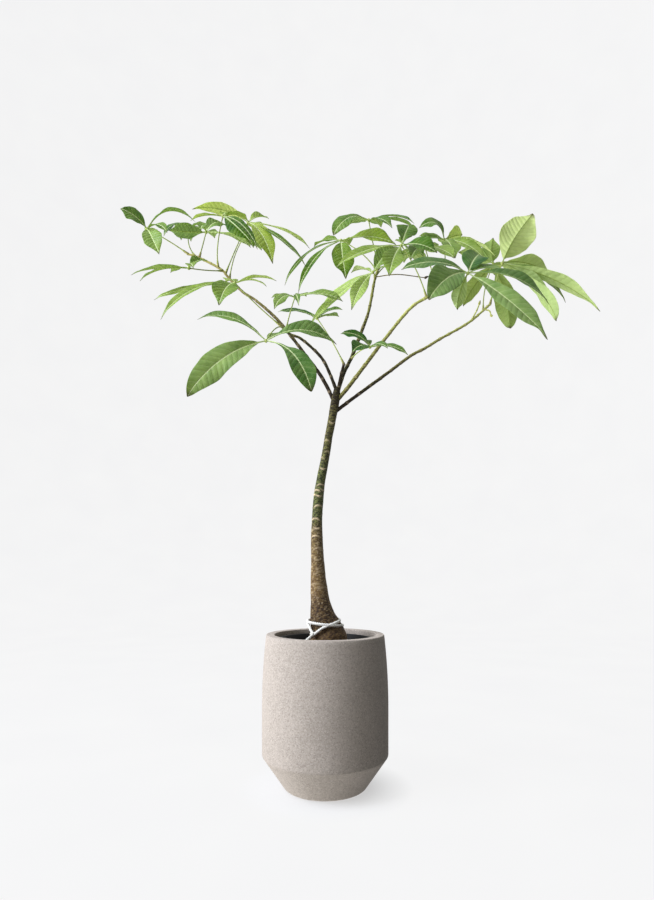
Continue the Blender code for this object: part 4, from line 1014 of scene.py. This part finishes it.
def leaflet_skin(hub, data, number, tone, warmth):
    """The midrib runs along a parabola: hub + chord × s + rise × arch × length × 4s(1 - s). Half the
    blade's width is width / 2 × sin(π g^p)^0.85, where g runs from 0 at the end of its stalk to 1 at the
    tip and p puts the widest place where it belongs. A slim blade that is widest near its middle has a
    drawn out tip, and every tip curls down. A point lies w half widths to the side, lifted by the fold
    and by waves that grow towards the edge, and both edges are a little uneven.
    """
    dx, dy, dz, width, arch, face, widest = data
    chord = np.array([dx, dy, dz], float)
    length = np.linalg.norm(chord)
    ahead = chord / length
    lean = math.radians(face)
    turned_up = np.array([0, -math.sin(lean), math.cos(lean)])
    normal = unit(turned_up - ahead * (turned_up @ ahead))
    up = unit(np.array([0, 0, 1]) - ahead * ahead[2])
    rise = unit(up + normal)
    s = np.linspace(0, 1, int(np.clip(length / 4, 18, 54)) + 1)[:-1, None]
    s = np.vstack([s, np.reshape(TIP_ROWS, (-1, 1))])
    tangent = unit(ahead + rise * arch * 4 * (1 - 2 * s))
    outward = unit(np.cross(tangent, normal))
    above = np.cross(outward, tangent)
    grown = np.clip((s - STALK_SHARE) / (1 - STALK_SHARE), 0, 1)
    spread = 0.5 * width * np.sin(np.pi * grown ** (math.log(0.5) / math.log(widest))) ** 0.85
    drawn_out = 0.45 * ease(widest, 0.68, 0.56) * ease(width, 60, 52) * ease(grown, 0.7, 0.97)
    spread = spread * (1 - drawn_out)
    arched = rise * arch * length * 4 * s * (1 - s)
    sway = 0.022 * length * np.sin(np.pi * s) * math.sin(number * 2.4 + dx)
    curl = 0.016 * length * ease(s, 0.84, 1.0) ** 2
    middle = np.asarray(hub, float) + chord * BLADE_REACH * s + arched + outward * sway - curl * above
    w = columns[None, :]
    edge, side = np.abs(w), np.sign(w)
    phase = 1.7 * number
    uneven = (1 + 0.05 * np.sin(13 * s + 3 * phase + 2.1 * side)
              + 0.012 * np.sin(31 * s + phase + 1.3 * side))
    half = np.maximum(spread * uneven, 1.3 * ease(s, 1.02, 0.9) + 0.25)
    waves = np.sin(2.2 * np.pi * s + phase + side) + 0.35 * np.sin(6 * np.pi * s + 2 * phase + 2 * side)
    waves = waves + 0.07 * np.sin(15 * np.pi * s + 3 * phase + 3 * side)
    fold = BLADE_FOLD * (0.7 + 0.6 * ((0.618 * number) % 1))
    lift = (half * (fold * edge - 0.08 * edge**3)
            + BLADE_WAVE * width * waves * edge**1.6 * ease(spread, 1.5, 8))
    across = w * half
    sheet = middle[:, None] + outward[:, None] * across[..., None] + above[:, None] * lift[..., None]
    round_stalk = 1 - ease(s, 0.04, 0.14)
    thick = 0.3 + 0.35 * (1 - edge**2) + round_stalk * 1.1 * (1 - 0.8 * edge**2)
    ridge = (1.7 - 1.2 * s) * np.exp(-((across / 1.3) ** 2)) * ease(s, 0.0, 0.1) * ease(s, 1.0, 0.9)
    top = sheet + above[:, None] * (thick / 2)[..., None]
    bottom = sheet - above[:, None] * (thick / 2 + ridge)[..., None]
    rings = np.concatenate([top, bottom[:, ::-1]], 1)
    spacing = 5.5 + length / 25
    between = (s * length - 0.62 * np.abs(across) - 0.004 * across**2) / spacing
    spot = np.stack([across, between, s + 0 * across], -1)
    spot = np.concatenate([spot, spot[:, ::-1]], 1)
    under = np.repeat([0.0, 1.0], len(columns))
    look = np.stack([tone + 0 * under, under, warmth + 0 * under], -1)
    return skin(rings, 0, spot=spot, look=look)


# %% Stalks and hubs
HUB_RADIUS = 3.9


def stalk_skins(leaf):
    """The stalk follows start (1-t)² + bend 2t(1-t) + hub t², thicker at both ends. The hub is a small
    ball: rings of radius sin θ at height cos θ."""
    seat, leave = leaf_start(leaf)
    start = seat + leave * STUB_LENGTH
    bend, hub = np.asarray(leaf["bend"], float), np.asarray(leaf["hub"], float)
    t = np.linspace(0, 1, 40)[:, None]
    path = start * (1 - t) ** 2 + bend * 2 * t * (1 - t) + hub * t**2
    radius = 1.4 - 0.2 * t + 1.0 * np.exp(-((t / 0.06) ** 2)) + 0.8 * np.exp(-(((1 - t) / 0.05) ** 2))
    stalk = tube_rings(path, radius, 12, np.cross(hub - start, (0.2, 1, 0.1)))
    polar = np.linspace(0.15, np.pi - 0.15, 9)
    theta = np.arange(14) * 2 * np.pi / 14
    ball = np.stack([np.sin(polar)[:, None] * np.cos(theta), np.sin(polar)[:, None] * np.sin(theta),
                     -np.cos(polar)[:, None] + 0 * theta], -1)
    none = np.zeros(3)
    return [skin(rings, 1, spot=none, look=none) for rings in (stalk, hub + HUB_RADIUS * ball)]


# %% [markdown]
# ## The crown
#
# Every leaf is one piece, as it grew: stalk, hub and leaflets. They differ in age and in how far the
# light comes through them, so each leaflet has its own tone, from 0 for old and dark to 1 for young and
# light, and each leaf is more or less yellow. So the tone is partly painted light: a leaflet that glows
# with light coming through it is painted lighter.

# %% All the leaves
# A lighter tone is partly painted light, the glow of light coming through the leaflet.
LEAF_LOOKS = {  # how yellow the leaf is, and the tone of each leaflet
    "leaf_left_far": (0.5, (0.2, 0.25, 0.3, 0.42, 0.4)),
    "leaf_left_high": (0.4, (0.1, 0.2, 0.25, 0.3, 0.3, 0.3)),
    "leaf_left_shoot": (0.3, (0.3, 0.35, 0.75, 0.4, 0.25)),
    "leaf_left_low": (0.6, (0.35, 0.4, 0.3, 0.25, 0.4)),
    "leaf_crown_left": (0.75, (1.0, 0.75, 0.65, 0.5, 0.2, 0.5)),
    "leaf_crown_front": (1.0, (0.06, 0.5, 0.3, 0.35, 0.1)),
    "leaf_mid_left": (0.65, (0.5, 0.45, 0.35, 0.6, 0.5, 0.5)),
    "leaf_inner_high": (0.5, (0.35, 0.4, 0.4, 0.2, 0.4)),
    "leaf_inner_back": (0.3, (0.05, 0.2, 0.15, 0.3, 0.3)),
    "leaf_front_left": (0.2, (0.5, 0.34, 0.14, 0.25, 0.4)),
    "leaf_centre_low": (0.3, (0.85, 0.85, 0.8, 0.75, 0.45, 0.6)),
    "leaf_top_left": (0.8, (0.14, 0.14, 0.25, 0.5, 0.28, 0.3)),
    "leaf_top_centre": (0.5, (0.25, 0.2, 0.15, 0.2, 0.3, 0.3)),
    "leaf_centre_right": (0.6, (0.2, 0.55, 0.45, 0.12, 0.4)),
    "leaf_top_right": (0.5, (0.2, 0.35, 1.0, 0.8, 0.55, 0.4, 0.35, 0.5)),
    "leaf_front_right": (0.1, (0.16, 0.32, 0.14, 0.25, 0.45, 0.9, 0.3)),
    "leaf_right_far": (0.4, (1.0, 0.75, 0.65, 0.35, 0.6, 0.6)),
    "leaf_right_back": (0.6, (0.4, 0.5, 0.4, 0.6, 0.6, 0.7)),
    "leaf_centre_small": (0.3, (0.0, 0.05, 0.3, 0.1, 0.2)),
    "leaf_mid_right": (0.5, (0.5, 0.35, 0.5, 0.5, 0.5)),
    "leaf_centre_back": (0.5, (0.3, 0.3, 0.4, 0.2, 0.4, 0.5)),
    "leaf_left_back": (0.5, (0.4, 0.45, 0.4, 0.35)),
}
for name, leaf in LEAVES.items():
    skins = stalk_skins(leaf)
    warmth, tones = LEAF_LOOKS[name]
    for number, (data, tone) in enumerate(zip(leaf["leaflets"], tones)):
        skins.append(leaflet_skin(leaf["hub"], data, number, tone, warmth))
    make_piece(name + "_grown", skins, [blade, stalk_green], name)

# %% [markdown]
# ## The studio
#
# The picture was taken in front of white paper, with a large soft lamp on the left and little light
# from the right. Here a wide round sweep of white paper is floor and wall at once, so that it shows
# no horizon from any side. Close to the planter the paper takes its shadow. Further out it shines by
# itself, so that it is near white whatever the lamp does. It throws no soft light back on the plant. The
# sky does that in its place: it is bright on the left and dark on the right, stronger from below, as
# over a white floor, and stronger again from straight above.

# %% Paper sweep
paper, tree = new_finish("backdrop_paper_white")
fibres = node(tree, "TexNoise", {"Vector": node(tree, "TexCoord").outputs["Object"], "Scale": 3.0})
tint = node(tree, "Mix", {0: fibres.outputs["Fac"], 6: paint("#F4F4F5"), 7: paint("#F8F8F8")},
            data_type="RGBA")
matt = node(tree, "BsdfDiffuse", {"Color": paint("#E4E4E4")})
even = node(tree, "Emission", {"Color": tint.outputs[2], "Strength": 1.0})
away = node(tree, "VectorMath", {0: node(tree, "TexCoord").outputs["Object"]}, operation="LENGTH")
share = node(tree, "MapRange", {"Value": away.outputs["Value"], "From Min": 0.1, "From Max": 0.21,
                                "To Min": 0.57, "To Max": 0.97})
mixed = node(tree, "MixShader",
             {0: share.outputs["Result"], 1: matt.outputs["BSDF"], 2: even.outputs["Emission"]})
node(tree, "OutputMaterial", {"Surface": mixed.outputs["Shader"]})

# %% The sweep's surface
FLAT_RADIUS, BEND_RADIUS, SWEEP_HIGH = 3600, 2200, 14000
outline = np.vstack([
    [(20, 0), (2500, 0)],
    arc((FLAT_RADIUS, BEND_RADIUS), BEND_RADIUS, -90, 0, 24),
    [(FLAT_RADIUS + BEND_RADIUS, SWEEP_HIGH)],
])
sheet = skin(turned_rings(outline[::-1], sides=96) * MM)
mesh = bpy.data.meshes.new("paper_sweep")
mesh.from_pydata(sheet["points"][:-2].tolist(), [], sheet["quads"].tolist())  # without the two fans
mesh.polygons.foreach_set("use_smooth", [True] * len(mesh.polygons))
mesh.materials.append(paper)
sweep = bpy.data.objects.new("paper_sweep", mesh)
sweep.visible_diffuse = False
bpy.context.scene.collection.objects.link(sweep)
print("sweep of", len(mesh.polygons), "quads")

# %% Soft lamp
LAMP_WATTS, LAMP_PLACE, LAMP_AIM = 125, (-2.4, -0.95, 2.5), (0, 0, 0.6)
lamp_data = bpy.data.lights.new("soft_lamp", "AREA")
lamp_data.shape = "RECTANGLE"
lamp_data.size, lamp_data.size_y = 1.6, 2.2
lamp_data.energy = LAMP_WATTS
lamp_data.color = (0.95, 1.0, 1.13)
lamp = bpy.data.objects.new("soft_lamp", lamp_data)
lamp.location = LAMP_PLACE
aim = np.array(LAMP_AIM) - np.array(lamp.location)
tilt = math.acos(-aim[2] / np.linalg.norm(aim))
lamp.rotation_euler = (tilt, 0, math.atan2(aim[1], aim[0]) - math.pi / 2)
bpy.context.scene.collection.objects.link(lamp)
print("lamp of", LAMP_WATTS, "W")

# %% Graded sky
world = bpy.data.worlds.new("soft_sky")
world.use_nodes = True
tree = world.node_tree
tree.nodes.clear()
toward = node(tree, "SeparateXYZ", {"Vector": node(tree, "TexCoord").outputs["Generated"]})
sideways = node(tree, "MapRange", {"Value": toward.outputs["X"], "From Min": -0.85, "From Max": 0.3,
                                   "To Min": 0.7, "To Max": 0.02})
below = node(tree, "MapRange", {"Value": toward.outputs["Z"], "From Min": 0.0, "From Max": -0.8,
                                "To Min": 0.0, "To Max": 4.6})
above = node(tree, "MapRange", {"Value": toward.outputs["Z"], "From Min": 0.7, "From Max": 1.0,
                                "To Min": 0.0, "To Max": 1.4})
bounced = node(tree, "Math", {0: below.outputs["Result"], 1: 1.0})
level = node(tree, "Math", {0: sideways.outputs["Result"], 1: bounced.outputs[0]}, operation="MULTIPLY")
strength = node(tree, "Math", {0: level.outputs[0], 1: above.outputs["Result"]})
sky = node(tree, "Background", {"Color": (0.98, 0.99, 1.0, 1.0), "Strength": strength.outputs[0]})
node(tree, "OutputWorld", {"Surface": sky.outputs["Background"]})
bpy.context.scene.world = world
bpy.context.scene.view_settings.view_transform = "Standard"
print("sky of", len(tree.nodes), "nodes")
